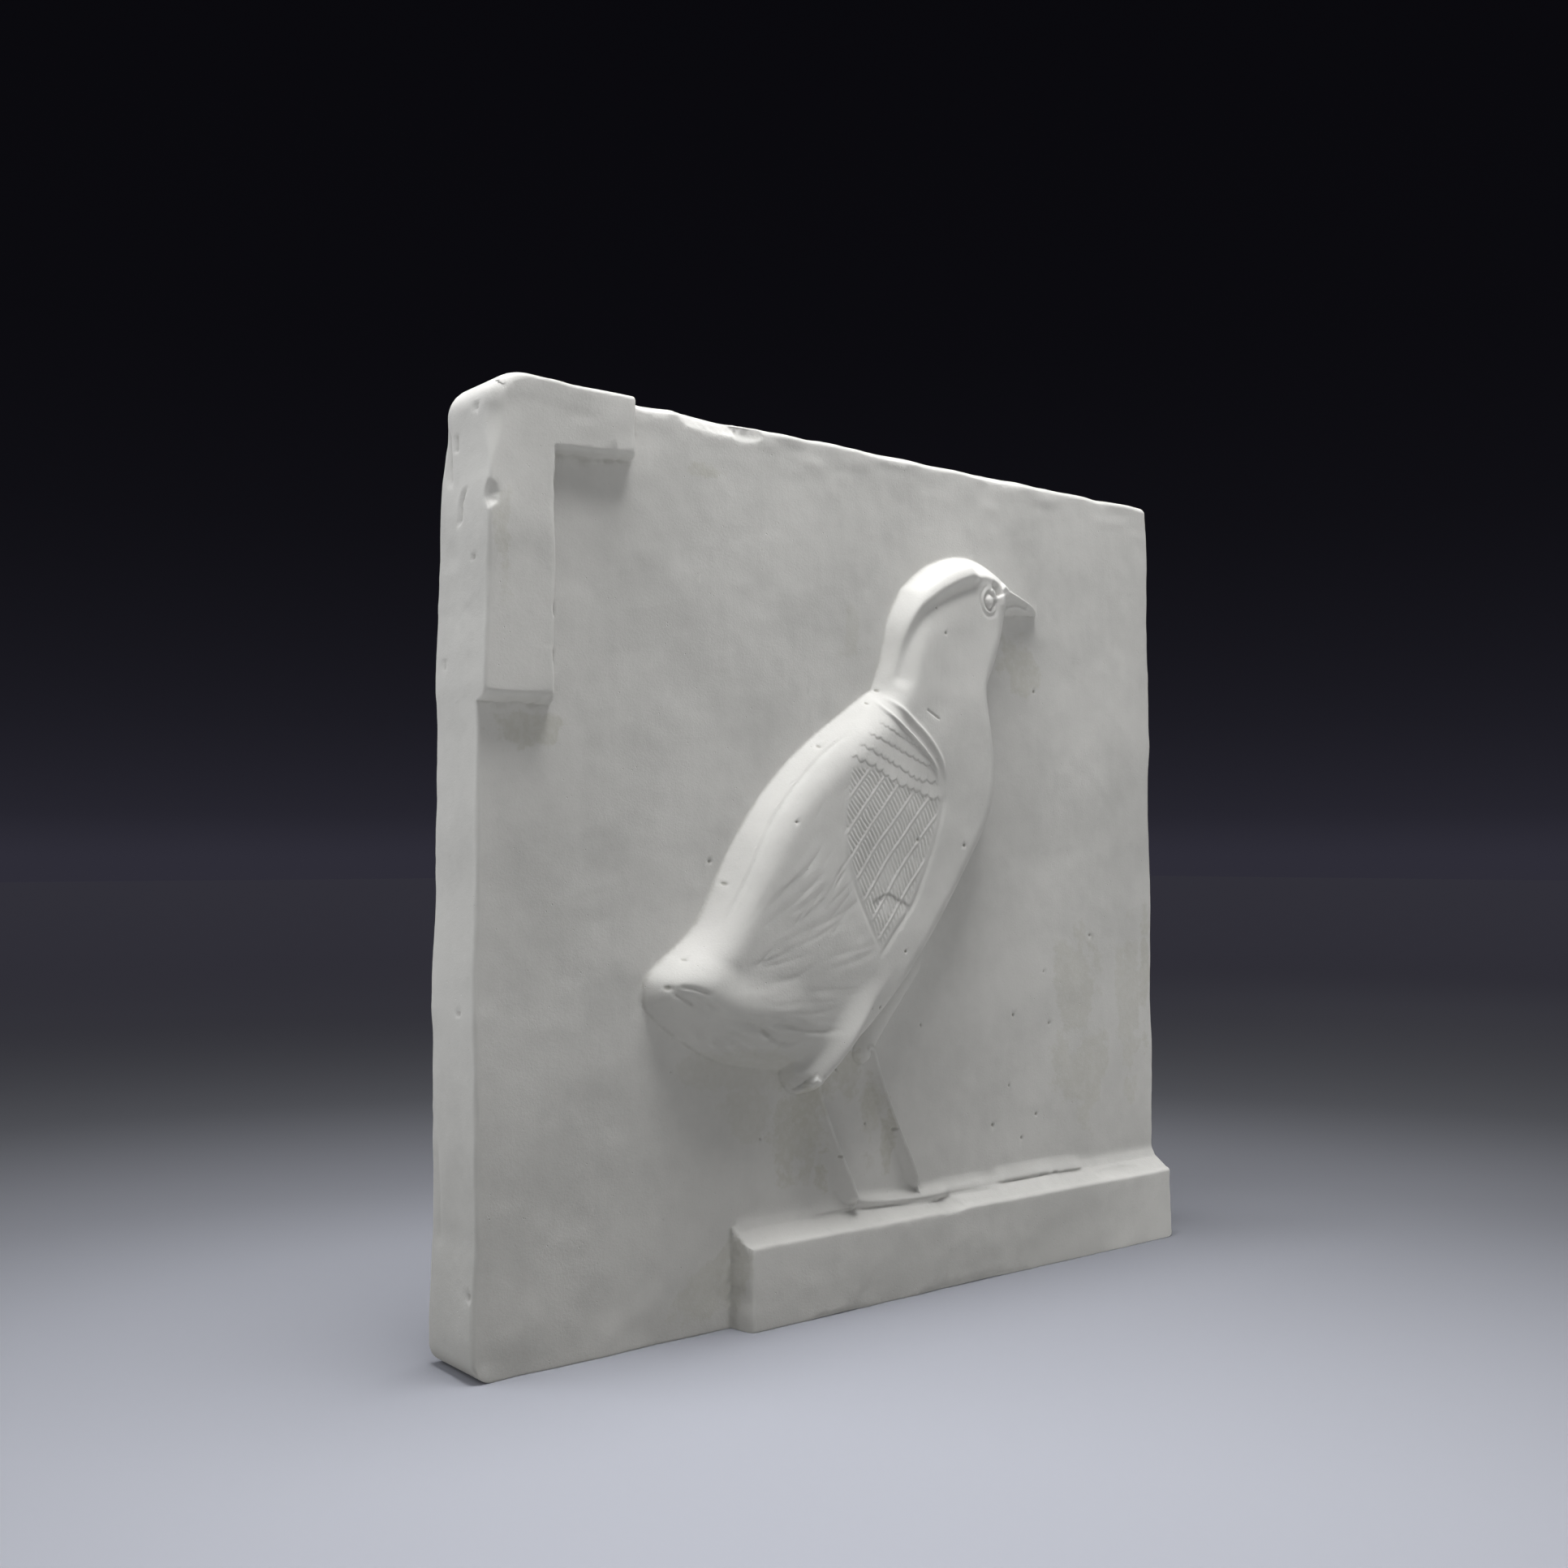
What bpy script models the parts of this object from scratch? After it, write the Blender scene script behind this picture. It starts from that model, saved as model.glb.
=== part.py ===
"""Plaster relief: a cast plaque with a young bird that stands on a raised ledge.

The plaque is one cast piece. Its front is worked out as a height over the slab's front plane: a corner band, a
ledge and the bird stand up from it, as on a cast from a one-sided mould. Metres, +Z up, the front faces -Y, and
the plaque stands on its underside with the origin at the middle of its box.
"""
import bpy
import numpy as np

# Slab
HEIGHT = 0.180
WIDTH = 0.187
FOOT_THICKNESS = 0.0165
TOP_THICKNESS = 0.0149
ARRIS = 0.0008
FOOT_ARRIS = 0.0003
WORN_ARRIS = 0.0034
TOP_LEFT_CORNER = 0.0062
BOTTOM_LEFT_CORNER = 0.0042
RIGHT_CORNER = 0.0016
EDGE_WAVE = 0.00045
FACE_WAVE = 0.00016

# Band down the upper left corner, flush with the slab's left side and top
BAND_RELIEF = 0.0040
BAND_LEG_WIDTH = 0.0138
BAND_LEG_LENGTH = 0.0574
BAND_ARM_HEIGHT = 0.0114
BAND_ARM_LENGTH = 0.0312
BAND_ARM_RISE = 0.0021
BAND_WALL = 0.0007
BAND_END_WALL = 0.0011

# Ledge along the lower right edge, flush with the slab's right side and underside
LEDGE_RELIEF = 0.0061
LEDGE_FROM_LEFT = 0.0567
LEDGE_HEIGHT = 0.0203
LEDGE_TOP_FALL = 0.0037
LEDGE_END_WALL = 0.0014
LEDGE_ARRIS = 0.0009

# Bird. Its places and half widths are shares of its own height, from the spot where the near leg meets the ledge,
# and its reliefs are shares of its own relief.
BIRD_HEIGHT = 0.1397
BIRD_FROM_LEFT = 0.0882
BIRD_RELIEF = 0.0082
BIRD_EDGE = 0.0031

NAPE = ((0.039, 0.772), (0.058, 0.821), (0.075, 0.885), (0.103, 0.937))
CROWN = ((0.103, 0.937), (0.155, 0.976), (0.219, 0.999), (0.271, 0.997), (0.316, 0.978), (0.340, 0.955))
THROAT = ((0.340, 0.955), (0.325, 0.915), (0.315, 0.876), (0.298, 0.827), (0.273, 0.781))
BREAST = ((0.273, 0.781), (0.282, 0.729), (0.290, 0.663), (0.279, 0.590), (0.239, 0.519), (0.099, 0.338),
          (-0.016, 0.226), (-0.060, 0.190))
BELLY = ((-0.060, 0.190), (-0.097, 0.192), (-0.142, 0.205), (-0.245, 0.224), (-0.322, 0.264), (-0.374, 0.305))
TAIL = ((-0.374, 0.305), (-0.380, 0.325), (-0.374, 0.354), (-0.341, 0.383))
BACK = ((-0.341, 0.383), (-0.292, 0.423), (-0.240, 0.516), (-0.186, 0.595), (-0.109, 0.672), (0.013, 0.757),
        (0.039, 0.772))
OUTLINE = (NAPE, CROWN, THROAT, BREAST, BELLY, TAIL, BACK)
# Width over which the bird rounds off along each of these runs
ROUNDING = (0.0080, 0.0075, 0.0060, 0.0060, 0.0105, 0.0068, 0.0092)

# Height up the bird, and the share of its relief reached there
RELIEF_RISE = ((0.18, 0.80), (0.35, 1.02), (0.55, 0.97), (0.74, 0.89), (0.84, 0.81), (1.0, 0.76))

# Bars: place, half width and relief at each station
BEAK = ((0.298, 0.938, 0.031, 0.62), (0.330, 0.935, 0.022, 0.54), (0.367, 0.931, 0.0140, 0.42),
        (0.391, 0.926, 0.008, 0.30), (0.405, 0.922, 0.003, 0.18))
NEAR_THIGH = ((0.040, 0.384, 0.046, 0.82), (-0.018, 0.324, 0.056, 1.06), (-0.060, 0.272, 0.053, 1.17),
              (-0.087, 0.236, 0.044, 1.15), (-0.108, 0.205, 0.028, 0.98))
NEAR_SHANK = ((-0.100, 0.200, 0.024, 0.60), (-0.092, 0.172, 0.022, 0.46), (-0.070, 0.118, 0.020, 0.42),
              (-0.046, 0.068, 0.019, 0.42), (-0.022, 0.018, 0.020, 0.44), (-0.014, 0.000, 0.016, 0.20))
FAR_THIGH = ((0.122, 0.352, 0.022, 0.20), (0.084, 0.312, 0.024, 0.27), (0.038, 0.258, 0.024, 0.31),
             (0.018, 0.222, 0.018, 0.34))
FAR_SHANK = ((0.022, 0.222, 0.017, 0.38), (0.043, 0.172, 0.014, 0.33), (0.071, 0.110, 0.013, 0.32),
             (0.097, 0.062, 0.013, 0.32), (0.115, 0.024, 0.014, 0.32), (0.124, 0.006, 0.011, 0.18))
THIGH_CREST = 0.40
THIGH_FULLNESS = 1.4
THIGH_BLEND = 0.22
SHANK_CREST = 0.45
SHANK_FLANK = 1.5

# Lines on the bird, each with its half width and its relief in metres
NAPE_GROOVE = ((0.057, 0.776), (0.069, 0.807), (0.081, 0.839), (0.095, 0.868), (0.116, 0.896), (0.144, 0.918),
               (0.178, 0.937), (0.211, 0.950), (0.244, 0.960))
NAPE_STEP = 0.0021
NAPE_STEP_WIDTH = 0.0018
SHOULDER_INNER = ((0.030, 0.765), (0.036, 0.742), (0.054, 0.721), (0.094, 0.689), (0.123, 0.660), (0.134, 0.629))
SHOULDER_OUTER = ((0.040, 0.768), (0.050, 0.755), (0.073, 0.733), (0.113, 0.700), (0.140, 0.666), (0.152, 0.628))
WING_REAR = ((-0.050, 0.649), (-0.060, 0.577), (-0.059, 0.540), (-0.049, 0.493), (-0.021, 0.431), (0.008, 0.375))
WING_FRONT = ((0.148, 0.622), (0.138, 0.580), (0.122, 0.537), (0.100, 0.490), (0.073, 0.443), (0.034, 0.402),
              (0.010, 0.374))
TAIL_FOLD = ((-0.345, 0.335), (-0.306, 0.318), (-0.285, 0.303), (-0.243, 0.292), (-0.193, 0.286), (-0.114, 0.280))
NEAR_TOE = ((-0.100, -0.009), (-0.025, -0.006), (0.050, -0.010), (0.118, -0.014), (0.159, -0.014), (0.195, -0.011),
            (0.280, -0.013), (0.298, -0.020))
FAR_TOE = ((0.290, -0.007), (0.358, -0.007), (0.430, -0.007), (0.515, -0.010))
NEAR_TOE_CREST = ((-0.015, 0.026), (-0.008, 0.013), (0.020, 0.003), (0.088, -0.003), (0.153, -0.004),
                  (0.200, -0.002))
TOE_WIDTH = 0.0006
TOE_RELIEF = 0.0009
BROW = ((0.215, 0.950), (0.240, 0.963), (0.279, 0.961), (0.290, 0.946), (0.294, 0.915))
MOUTH = ((0.318, 0.918), (0.349, 0.925), (0.368, 0.922), (0.392, 0.915))
CORD_WIDTH = 0.0009
CORD_RELIEF = 0.0008
WING_STEP = 0.0004
FOLD_FALL = 0.0012

EYE = (0.260, 0.918)
EYE_RADIUS = 0.0024
EYE_SOCKET = 0.0046
EYE_RELIEF = 0.0011

# Worn places: how far along and up the slab, their half sizes, and their depth
CHIPS = ((0.0512, 0.1800, 0.0085, 0.0034, 0.0016), (0.0595, 0.1785, 0.0050, 0.0020, 0.0008),
         (-0.0010, 0.1573, 0.0027, 0.0032, 0.0017), (0.0144, 0.1386, 0.0012, 0.0026, 0.0012),
         (0.0144, 0.1292, 0.0012, 0.0020, 0.0010), (0.1128, 0.0172, 0.0050, 0.0016, 0.0012))

GRID_STEP = 0.00078
EDGE_LINES = (0.00025, 0.0005, 0.0008, 0.0012, 0.0017, 0.0024)
TRIANGLES = 8600


def spline(points, steps=7):
    """Points along a smooth line through the given ones, whatever numbers each holds."""
    knots = np.asarray(points, float)
    knots = np.vstack([2 * knots[0] - knots[1], knots, 2 * knots[-1] - knots[-2]])
    shares = np.linspace(0.0, 1.0, steps, endpoint=False)[:, None]
    runs = []
    for before, start, end, after in zip(knots, knots[1:], knots[2:], knots[3:]):
        runs.append(start + 0.5 * shares * (end - before
                                            + shares * (2 * before - 5 * start + 4 * end - after
                                                        + shares * (3 * (start - end) + after - before))))
    return np.vstack(runs + [knots[-2:-1]])


def on_slab(points):
    """Places and half widths given as shares of the bird, in metres on the slab's front."""
    placed = np.array(points, float)
    placed[:, 0] = BIRD_FROM_LEFT + placed[:, 0] * BIRD_HEIGHT
    placed[:, 1] = LEDGE_HEIGHT + placed[:, 1] * BIRD_HEIGHT
    placed[:, 2:3] *= BIRD_HEIGHT
    return placed


def ease(value):
    """A smooth step from 0 to 1."""
    value = np.clip(value, 0.0, 1.0)
    return value * value * (3.0 - 2.0 * value)


def rounded(value):
    """A quarter round, steep at 0 and level at 1."""
    return np.sqrt(1.0 - (1.0 - np.clip(value, 0.0, 1.0)) ** 2)


def swelling(value):
    """A soft rise from a level foot at 0 that rounds off to 1, never upright."""
    value = np.clip(value, 0.0, 1.0)
    rise = 1.0 - (1.0 - value) ** 2.5
    return rise * ease(value / 0.10 + 0.35)


def blend_up(first, second, soft):
    """The higher of two heights, with a soft joint between them."""
    return np.maximum(first, second) + np.maximum(soft - np.abs(first - second), 0.0) ** 2 / (4.0 * soft)


def wave(first, second, length, seed):
    """A gentle unevenness between about -1 and 1."""
    total = 0.0
    for turn in range(4):
        angle = seed * 1.7 + turn * 2.1
        pace = 2.0 * np.pi / length * (0.7 + 0.37 * turn)
        total = total + np.sin(pace * (np.cos(angle) * first + np.sin(angle) * second) + seed * 5.3 + turn)
    return total / 3.0


def near_line(x, z, line):
    """Distance to a line, the side (positive on its left) and the numbers that it holds at the nearest spot."""
    best = np.full(x.shape, np.inf)
    side = np.zeros(x.shape)
    held = np.zeros(x.shape + (line.shape[1] + 1,))
    lengths = np.hypot(*np.diff(line[:, :2], axis=0).T)
    travelled = np.concatenate([[0.0], np.cumsum(lengths)]) / lengths.sum()
    full = np.column_stack([line, travelled])
    for start, end in zip(full, full[1:]):
        run = end[:2] - start[:2]
        share = ((x - start[0]) * run[0] + (z - start[1]) * run[1]) / (run @ run)
        share = np.clip(share, 0.0, 1.0)
        away_x = x - start[0] - share * run[0]
        away_z = z - start[1] - share * run[1]
        distance = np.hypot(away_x, away_z)
        closer = distance < best
        best = np.where(closer, distance, best)
        side = np.where(closer, np.sign(run[0] * away_z - run[1] * away_x), side)
        here = start + share[..., None] * (end - start)
        held = np.where(closer[..., None], here, held)
    return best, side, held


def depth_inside(x, z, loop):
    """How deep each spot lies inside a closed outline, and the width there of the outline's rounding."""
    soft = ARRIS ** 2
    pull = np.zeros(x.shape)
    pulled_width = np.zeros(x.shape)
    inside = np.zeros(x.shape, bool)
    for start, end in zip(loop, np.roll(loop, -1, axis=0)):
        run = end[:2] - start[:2]
        length = np.hypot(*run)
        if length < 1e-7:
            continue
        along = ((x - start[0]) * run[0] + (z - start[1]) * run[1]) / length
        across = ((x - start[0]) * run[1] - (z - start[1]) * run[0]) / length
        near = across ** 2 + soft
        left = length - along
        share = (left / np.sqrt(near + left ** 2) + along / np.sqrt(near + along ** 2)) / near
        pull += share
        pulled_width += share * start[2]
        crosses = (start[1] > z) != (end[1] > z)
        rise = end[1] - start[1] if end[1] != start[1] else 1.0
        inside ^= crosses & (x < start[0] + (z - start[1]) / rise * run[0])
    depth = np.sqrt(np.maximum(2.0 / pull - soft, 0.0))
    return np.where(inside, depth, 0.0), pulled_width / pull


def outline_run(points, width):
    """One run of the bird's outline in metres, with the width of its rounding."""
    line = spline(on_slab(points))[:-1]
    return np.column_stack([line, np.full(len(line), width)])


def bar(x, z, stations, crest=0.0, fullness=2.0):
    """A rounded bar through stations that hold place, half width and share of the bird's relief."""
    distance, side, held = near_line(x, z, spline(on_slab(stations)))
    off = distance * side / held[..., 2] - crest
    across = np.clip(np.where(off > 0.0, off / (1.0 - crest), -off / (1.0 + crest)), 0.0, 1.0)
    flank = (1.0 - across ** fullness) ** 0.7
    return np.where(distance > held[..., 2], 0.0, BIRD_RELIEF * held[..., 3] * flank)


def shank(x, z, stations):
    """A bar with its crest near the side that faces the toes, and a long hollow flank on the other."""
    distance, side, held = near_line(x, z, spline(on_slab(stations)))
    off = distance * side / held[..., 2] - SHANK_CREST
    front = np.clip(off / (1.0 - SHANK_CREST), 0.0, 1.0)
    rear = np.clip(-off / (1.0 + SHANK_CREST), 0.0, 1.0)
    flank = (1.0 - front ** 2) ** 0.7 * (1.0 - rear) ** SHANK_FLANK
    return np.where(distance > held[..., 2], 0.0, BIRD_RELIEF * held[..., 3] * flank)


def thread(x, z, points, half_width):
    """1 on a line, falling to 0 beside it and past its ends."""
    distance, side, held = near_line(x, z, spline(on_slab(points)))
    share = held[..., -1]
    fade = ease(share / 0.10) * ease((1.0 - share) / 0.10)
    return np.exp(-(distance / half_width) ** 2) * fade, distance * side, fade


def band_height(x, z):
    """The corner band: a leg down the left side and an arm along the top."""
    edge = BAND_LEG_WIDTH + 0.0002 * wave(z, 0.0 * z, 0.02, 3)
    leg_end = HEIGHT - BAND_LEG_LENGTH
    arm_under = HEIGHT - BAND_ARM_HEIGHT - BAND_ARM_RISE * (1.0 - x / BAND_ARM_LENGTH)
    leg = np.minimum((edge - x) / BAND_WALL, (z - leg_end) / BAND_END_WALL + 1.0)
    arm = np.minimum((z - arm_under) / BAND_WALL, (BAND_ARM_LENGTH - x) / BAND_WALL)
    into = blend_up(leg, arm, 1.2)
    return BAND_RELIEF * rounded((into + 1.0) / 2.0)


def ledge_height(x, z):
    """The ledge that the bird stands on, with a top that falls to the front."""
    uneven = 0.00025 * wave(x, 0.0 * x, 0.06, 5)
    top = (LEDGE_HEIGHT + uneven - z) / LEDGE_TOP_FALL
    end = (x - LEDGE_FROM_LEFT) / LEDGE_END_WALL
    ramp = np.clip(top, 0.0, 1.0) * 0.82 + 0.18 * rounded((LEDGE_HEIGHT - LEDGE_TOP_FALL - z) / LEDGE_ARRIS)
    ramp = np.where(top > 0.0, ramp, 0.0)
    return LEDGE_RELIEF * np.minimum(ramp, rounded(end))


def head_height(x, z):
    """The eye, the brow and the line of the beak, over the head's own roundness."""
    eye_x, eye_z = on_slab([EYE])[0]
    away = np.hypot(x - eye_x, (z - eye_z) * 0.85)
    socket = -0.45 * EYE_RELIEF * np.exp(-((away - 0.72 * EYE_SOCKET) / (0.24 * EYE_SOCKET)) ** 2)
    ball = EYE_RELIEF * rounded(1.0 - away / EYE_RADIUS)
    brow = 0.7 * CORD_RELIEF * thread(x, z, BROW, 1.1 * CORD_WIDTH)[0]
    mouth = -0.9 * CORD_RELIEF * thread(x, z, MOUTH, 0.7 * CORD_WIDTH)[0]
    return socket + ball + brow + mouth


def nape_height(x, z):
    """The raised rim of the nape and crown, with the groove at its inner edge."""
    groove, across, fade = thread(x, z, NAPE_GROOVE, NAPE_STEP_WIDTH)
    rim = NAPE_STEP * ease((across + NAPE_STEP_WIDTH) / (2.0 * NAPE_STEP_WIDTH)) * fade
    return rim * (across < 4.0 * NAPE_STEP_WIDTH) - 0.3 * NAPE_STEP * groove


def wing_height(x, z):
    """The cords of the shoulder and the edges of the folded wing."""
    cords = sum(thread(x, z, line, CORD_WIDTH)[0] for line in (SHOULDER_INNER, SHOULDER_OUTER))
    rear = thread(x, z, WING_REAR, 0.8 * CORD_WIDTH)[0]
    front, across, fade = thread(x, z, WING_FRONT, CORD_WIDTH)
    fall = ease(across / (3.0 * CORD_WIDTH)) * ease(2.0 - across / (6.0 * CORD_WIDTH)) * fade
    return CORD_RELIEF * cords - 0.35 * CORD_RELIEF * rear - WING_STEP * (fall + 0.6 * front)


def tail_height(x, z):
    """The fold that runs from the tail's tip under the flank."""
    crease, across, fade = thread(x, z, TAIL_FOLD, 2.0 * CORD_WIDTH)
    under = ease(-across / (4.0 * CORD_WIDTH)) * fade
    return -FOLD_FALL * under - 0.3 * FOLD_FALL * crease


def bird_height(x, z):
    """The bird: a rounded body, its limbs and the lines on them."""
    loop = np.vstack([outline_run(points, width) for points, width in zip(OUTLINE, ROUNDING)])
    depth, width = depth_inside(x, z, loop)
    up = (z - LEDGE_HEIGHT) / BIRD_HEIGHT
    rise = np.interp(up, *spline(RELIEF_RISE).T)
    body = BIRD_RELIEF * rise * swelling(depth / width)
    cover = ease(depth / BIRD_EDGE)
    body = body + cover * (nape_height(x, z) + wing_height(x, z) + tail_height(x, z))
    thigh = bar(x, z, NEAR_THIGH, THIGH_CREST, THIGH_FULLNESS)
    body = blend_up(body, thigh, THIGH_BLEND * BIRD_RELIEF)
    body = blend_up(body, bar(x, z, BEAK), 0.12 * BIRD_RELIEF)
    body = body + head_height(x, z) * ease(body / (0.2 * BIRD_RELIEF))
    limbs = blend_up(shank(x, z, NEAR_SHANK), shank(x, z, FAR_SHANK), 0.04 * BIRD_RELIEF)
    limbs = blend_up(limbs, bar(x, z, FAR_THIGH), 0.04 * BIRD_RELIEF)
    return blend_up(body, limbs, 0.05 * BIRD_RELIEF)


def toe_height(x, z):
    """The toes, which lie on the ledge with a low wall on their underside."""
    total = TOE_RELIEF * thread(x, z, NEAR_TOE_CREST, 1.5 * TOE_WIDTH)[0]
    for line in (NEAR_TOE, FAR_TOE):
        crease, across, fade = thread(x, z, line, TOE_WIDTH)
        rise = ease(across / TOE_WIDTH + 0.5) * ease(1.6 - across / (5.0 * TOE_WIDTH)) * fade
        total = total + TOE_RELIEF * (rise - 0.3 * crease)
    return total


def chip_depth(x, z):
    """Shallow scoops where the arrises have been knocked."""
    total = np.zeros(x.shape)
    for place_x, place_z, half_x, half_z, deep in CHIPS:
        away = ((x - place_x) / half_x) ** 2 + ((z - place_z) / half_z) ** 2
        total += deep * np.clip(1.0 - away, 0.0, 1.0) ** 1.4
    return total


def front_height(x, z):
    """Height of the plaster over the slab's front plane."""
    ground = FACE_WAVE * wave(x, z, 0.09, 1)
    raised = np.maximum(band_height(x, z), ledge_height(x, z))
    raised = blend_up(raised, bird_height(x, z), 0.0004)
    return ground + raised + toe_height(x, z) - chip_depth(x, z)


def grid_lines(length, breaks, busy=(0.0, 0.0)):
    """Places of the grid's lines along one side, closer together beside walls and in one busy stretch."""
    lines = list(np.linspace(0.0, length, round(length / GRID_STEP) + 1))
    lines += list(np.arange(busy[0], busy[1], 0.5 * GRID_STEP))
    for place in (0.0, length) + tuple(breaks):
        for off in (0.0,) + EDGE_LINES:
            lines += [place - off, place + off]
    lines = np.unique(np.round([spot for spot in lines if 0.0 <= spot <= length], 6))
    wide = np.concatenate([[True], np.diff(lines) > 0.00012])
    wide[-1] = True
    return lines[wide]


def corner_radius(x, z):
    """Radius of the slab's outline at the nearest corner."""
    left = np.where(z > HEIGHT / 2, TOP_LEFT_CORNER, BOTTOM_LEFT_CORNER)
    return np.where(x < WIDTH / 2, left, RIGHT_CORNER)


def outline_place(x, z):
    """Moves a place in the plain rectangle to the slab's rounded and slightly wavy outline."""
    radius = corner_radius(x, z)
    away_x = x - np.clip(x, radius, WIDTH - radius)
    away_z = z - np.clip(z, radius, HEIGHT - radius)
    straight = np.maximum(np.abs(away_x), np.abs(away_z))
    slant = np.maximum(np.hypot(away_x, away_z), 1e-9)
    pull = np.where((away_x != 0.0) & (away_z != 0.0), straight / slant, 1.0)
    placed_x = x + away_x * (pull - 1.0)
    placed_z = z + away_z * (pull - 1.0)
    reach = 0.012
    placed_x = placed_x + EDGE_WAVE * wave(z, 0.0 * z, 0.05, 2) * ease(1.0 - x / reach)
    placed_x = placed_x + EDGE_WAVE * wave(z, 0.0 * z, 0.06, 7) * ease((x - WIDTH + reach) / reach)
    placed_z = placed_z + 0.5 * EDGE_WAVE * wave(x, 0.0 * x, 0.03, 4) * ease((z - HEIGHT + reach) / reach)
    return placed_x, placed_z


def slab_thickness(z):
    """Thickness of the slab, whose level back leans a little so that its foot is the thickest."""
    return FOOT_THICKNESS + (TOP_THICKNESS - FOOT_THICKNESS) * z / HEIGHT


def arris_radius(x, z):
    """Radius of the front and back arrises: worn round at the top of the left side, crisp at the foot."""
    worn = ease((z - 0.90 * HEIGHT) / (0.06 * HEIGHT)) * ease(1.0 - x / (0.05 * WIDTH))
    foot = ease(1.0 - z / (3.0 * ARRIS))
    return ARRIS + (WORN_ARRIS - ARRIS) * worn + (FOOT_ARRIS - ARRIS) * foot


def turned(inset, depth, radius):
    """Rounds an arris: where a spot so far in from the side and so deep below the face comes to lie."""
    off_side = np.maximum(radius - inset, 0.0)
    off_face = np.maximum(radius - depth, 0.0)
    away = np.maximum(np.hypot(off_side, off_face), 1e-9)
    in_corner = (off_side > 0.0) & (off_face > 0.0)
    pull = np.where(in_corner, radius / away, 1.0)
    return (np.where(in_corner, radius - off_side * pull, inset),
            np.where(in_corner, radius - off_face * pull, depth))


def box_grid():
    """The vertices of a gridded box as column, row and share of the depth, and its faces."""
    columns = grid_lines(WIDTH, (BAND_LEG_WIDTH, BAND_ARM_LENGTH, LEDGE_FROM_LEFT))
    rows = grid_lines(HEIGHT, (HEIGHT - BAND_LEG_LENGTH, HEIGHT - BAND_ARM_HEIGHT, LEDGE_HEIGHT,
                               LEDGE_HEIGHT - LEDGE_TOP_FALL),
                      (LEDGE_HEIGHT - LEDGE_TOP_FALL, LEDGE_HEIGHT + 0.03 * BIRD_HEIGHT))
    depths = np.array([0.0, 0.015, 0.035, 0.06, 0.12, 0.3, 0.5, 0.7, 0.88, 0.94, 0.965, 0.983, 1.0])
    layers = len(depths)
    number = {}
    spots = []

    def vertex(column, row, layer):
        key = (column, row, layer)
        if key not in number:
            number[key] = len(spots)
            spots.append((columns[column], rows[row], depths[layer]))
        return number[key]

    faces = []
    last_column, last_row, last_layer = len(columns) - 1, len(rows) - 1, layers - 1
    for column in range(last_column):
        for row in range(last_row):
            faces.append([vertex(column + i, row + j, 0) for i, j in ((0, 0), (1, 0), (1, 1), (0, 1))])
            faces.append([vertex(column + i, row + j, last_layer) for i, j in ((0, 0), (0, 1), (1, 1), (1, 0))])
    for layer in range(last_layer):
        for column in range(last_column):
            faces.append([vertex(column + i, 0, layer + j) for i, j in ((0, 0), (0, 1), (1, 1), (1, 0))])
            faces.append([vertex(column + i, last_row, layer + j) for i, j in ((0, 0), (1, 0), (1, 1), (0, 1))])
        for row in range(last_row):
            faces.append([vertex(0, row + i, layer + j) for i, j in ((0, 0), (1, 0), (1, 1), (0, 1))])
            faces.append([vertex(last_column, row + i, layer + j) for i, j in ((0, 0), (0, 1), (1, 1), (1, 0))])
    return np.array(spots), faces


def plaque_points(spots):
    """Places of the plaque's vertices, in the slab's own x, y and z before it is centred."""
    x, z, share = spots.T
    inset = np.minimum(np.minimum(x, WIDTH - x), np.minimum(z, HEIGHT - z))
    raised = front_height(x, z)
    whole = slab_thickness(z) + raised
    depth = share * whole
    radius = arris_radius(x, z)
    inset_now, depth_now = turned(inset, depth, radius)
    inset_now, from_back = turned(inset_now, whole - depth_now, radius)
    depth_now = whole - from_back
    x = np.clip(x, inset_now, WIDTH - inset_now)
    z = np.clip(z, inset_now, HEIGHT - inset_now)
    placed_x, placed_z = outline_place(x, z)
    return np.column_stack([placed_x, depth_now - raised, placed_z])


def plaster():
    """Matt white plaster."""
    material = bpy.data.materials.new("plaster")
    material.use_nodes = True
    shader = material.node_tree.nodes["Principled BSDF"]
    shader.inputs["Base Color"].default_value = (0.72, 0.72, 0.70, 1.0)
    shader.inputs["Roughness"].default_value = 0.85
    shader.inputs["Metallic"].default_value = 0.0
    return material


def build_plaque():
    """The whole plaque as one closed mesh, thinned where it is plain."""
    spots, faces = box_grid()
    points = plaque_points(spots)
    low, high = points.min(axis=0), points.max(axis=0)
    middle = (low + high) / 2.0
    points = points - np.array([middle[0], middle[1], low[2]])
    mesh = bpy.data.meshes.new("relief_plaque")
    mesh.from_pydata(points.tolist(), [], faces)
    mesh.update()
    mesh.materials.append(plaster())
    plaque = bpy.data.objects.new("relief_plaque", mesh)
    bpy.context.scene.collection.objects.link(plaque)
    thin = plaque.modifiers.new("Thin", "DECIMATE")
    thin.decimate_type = "COLLAPSE"
    thin.ratio = TRIANGLES / (2.0 * len(faces))
    return plaque


def main():
    """Clears the scene and models the plaque."""
    for thing in list(bpy.data.objects):
        bpy.data.objects.remove(thing, do_unlink=True)
    build_plaque()


main()
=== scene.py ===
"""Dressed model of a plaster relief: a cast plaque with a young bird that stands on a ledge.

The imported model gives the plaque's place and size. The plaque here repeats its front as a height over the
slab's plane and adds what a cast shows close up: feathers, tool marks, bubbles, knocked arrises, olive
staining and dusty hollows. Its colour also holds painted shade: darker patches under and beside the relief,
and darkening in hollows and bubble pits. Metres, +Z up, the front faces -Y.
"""
import logging
import math
from dataclasses import dataclass
from enum import Enum

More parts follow.
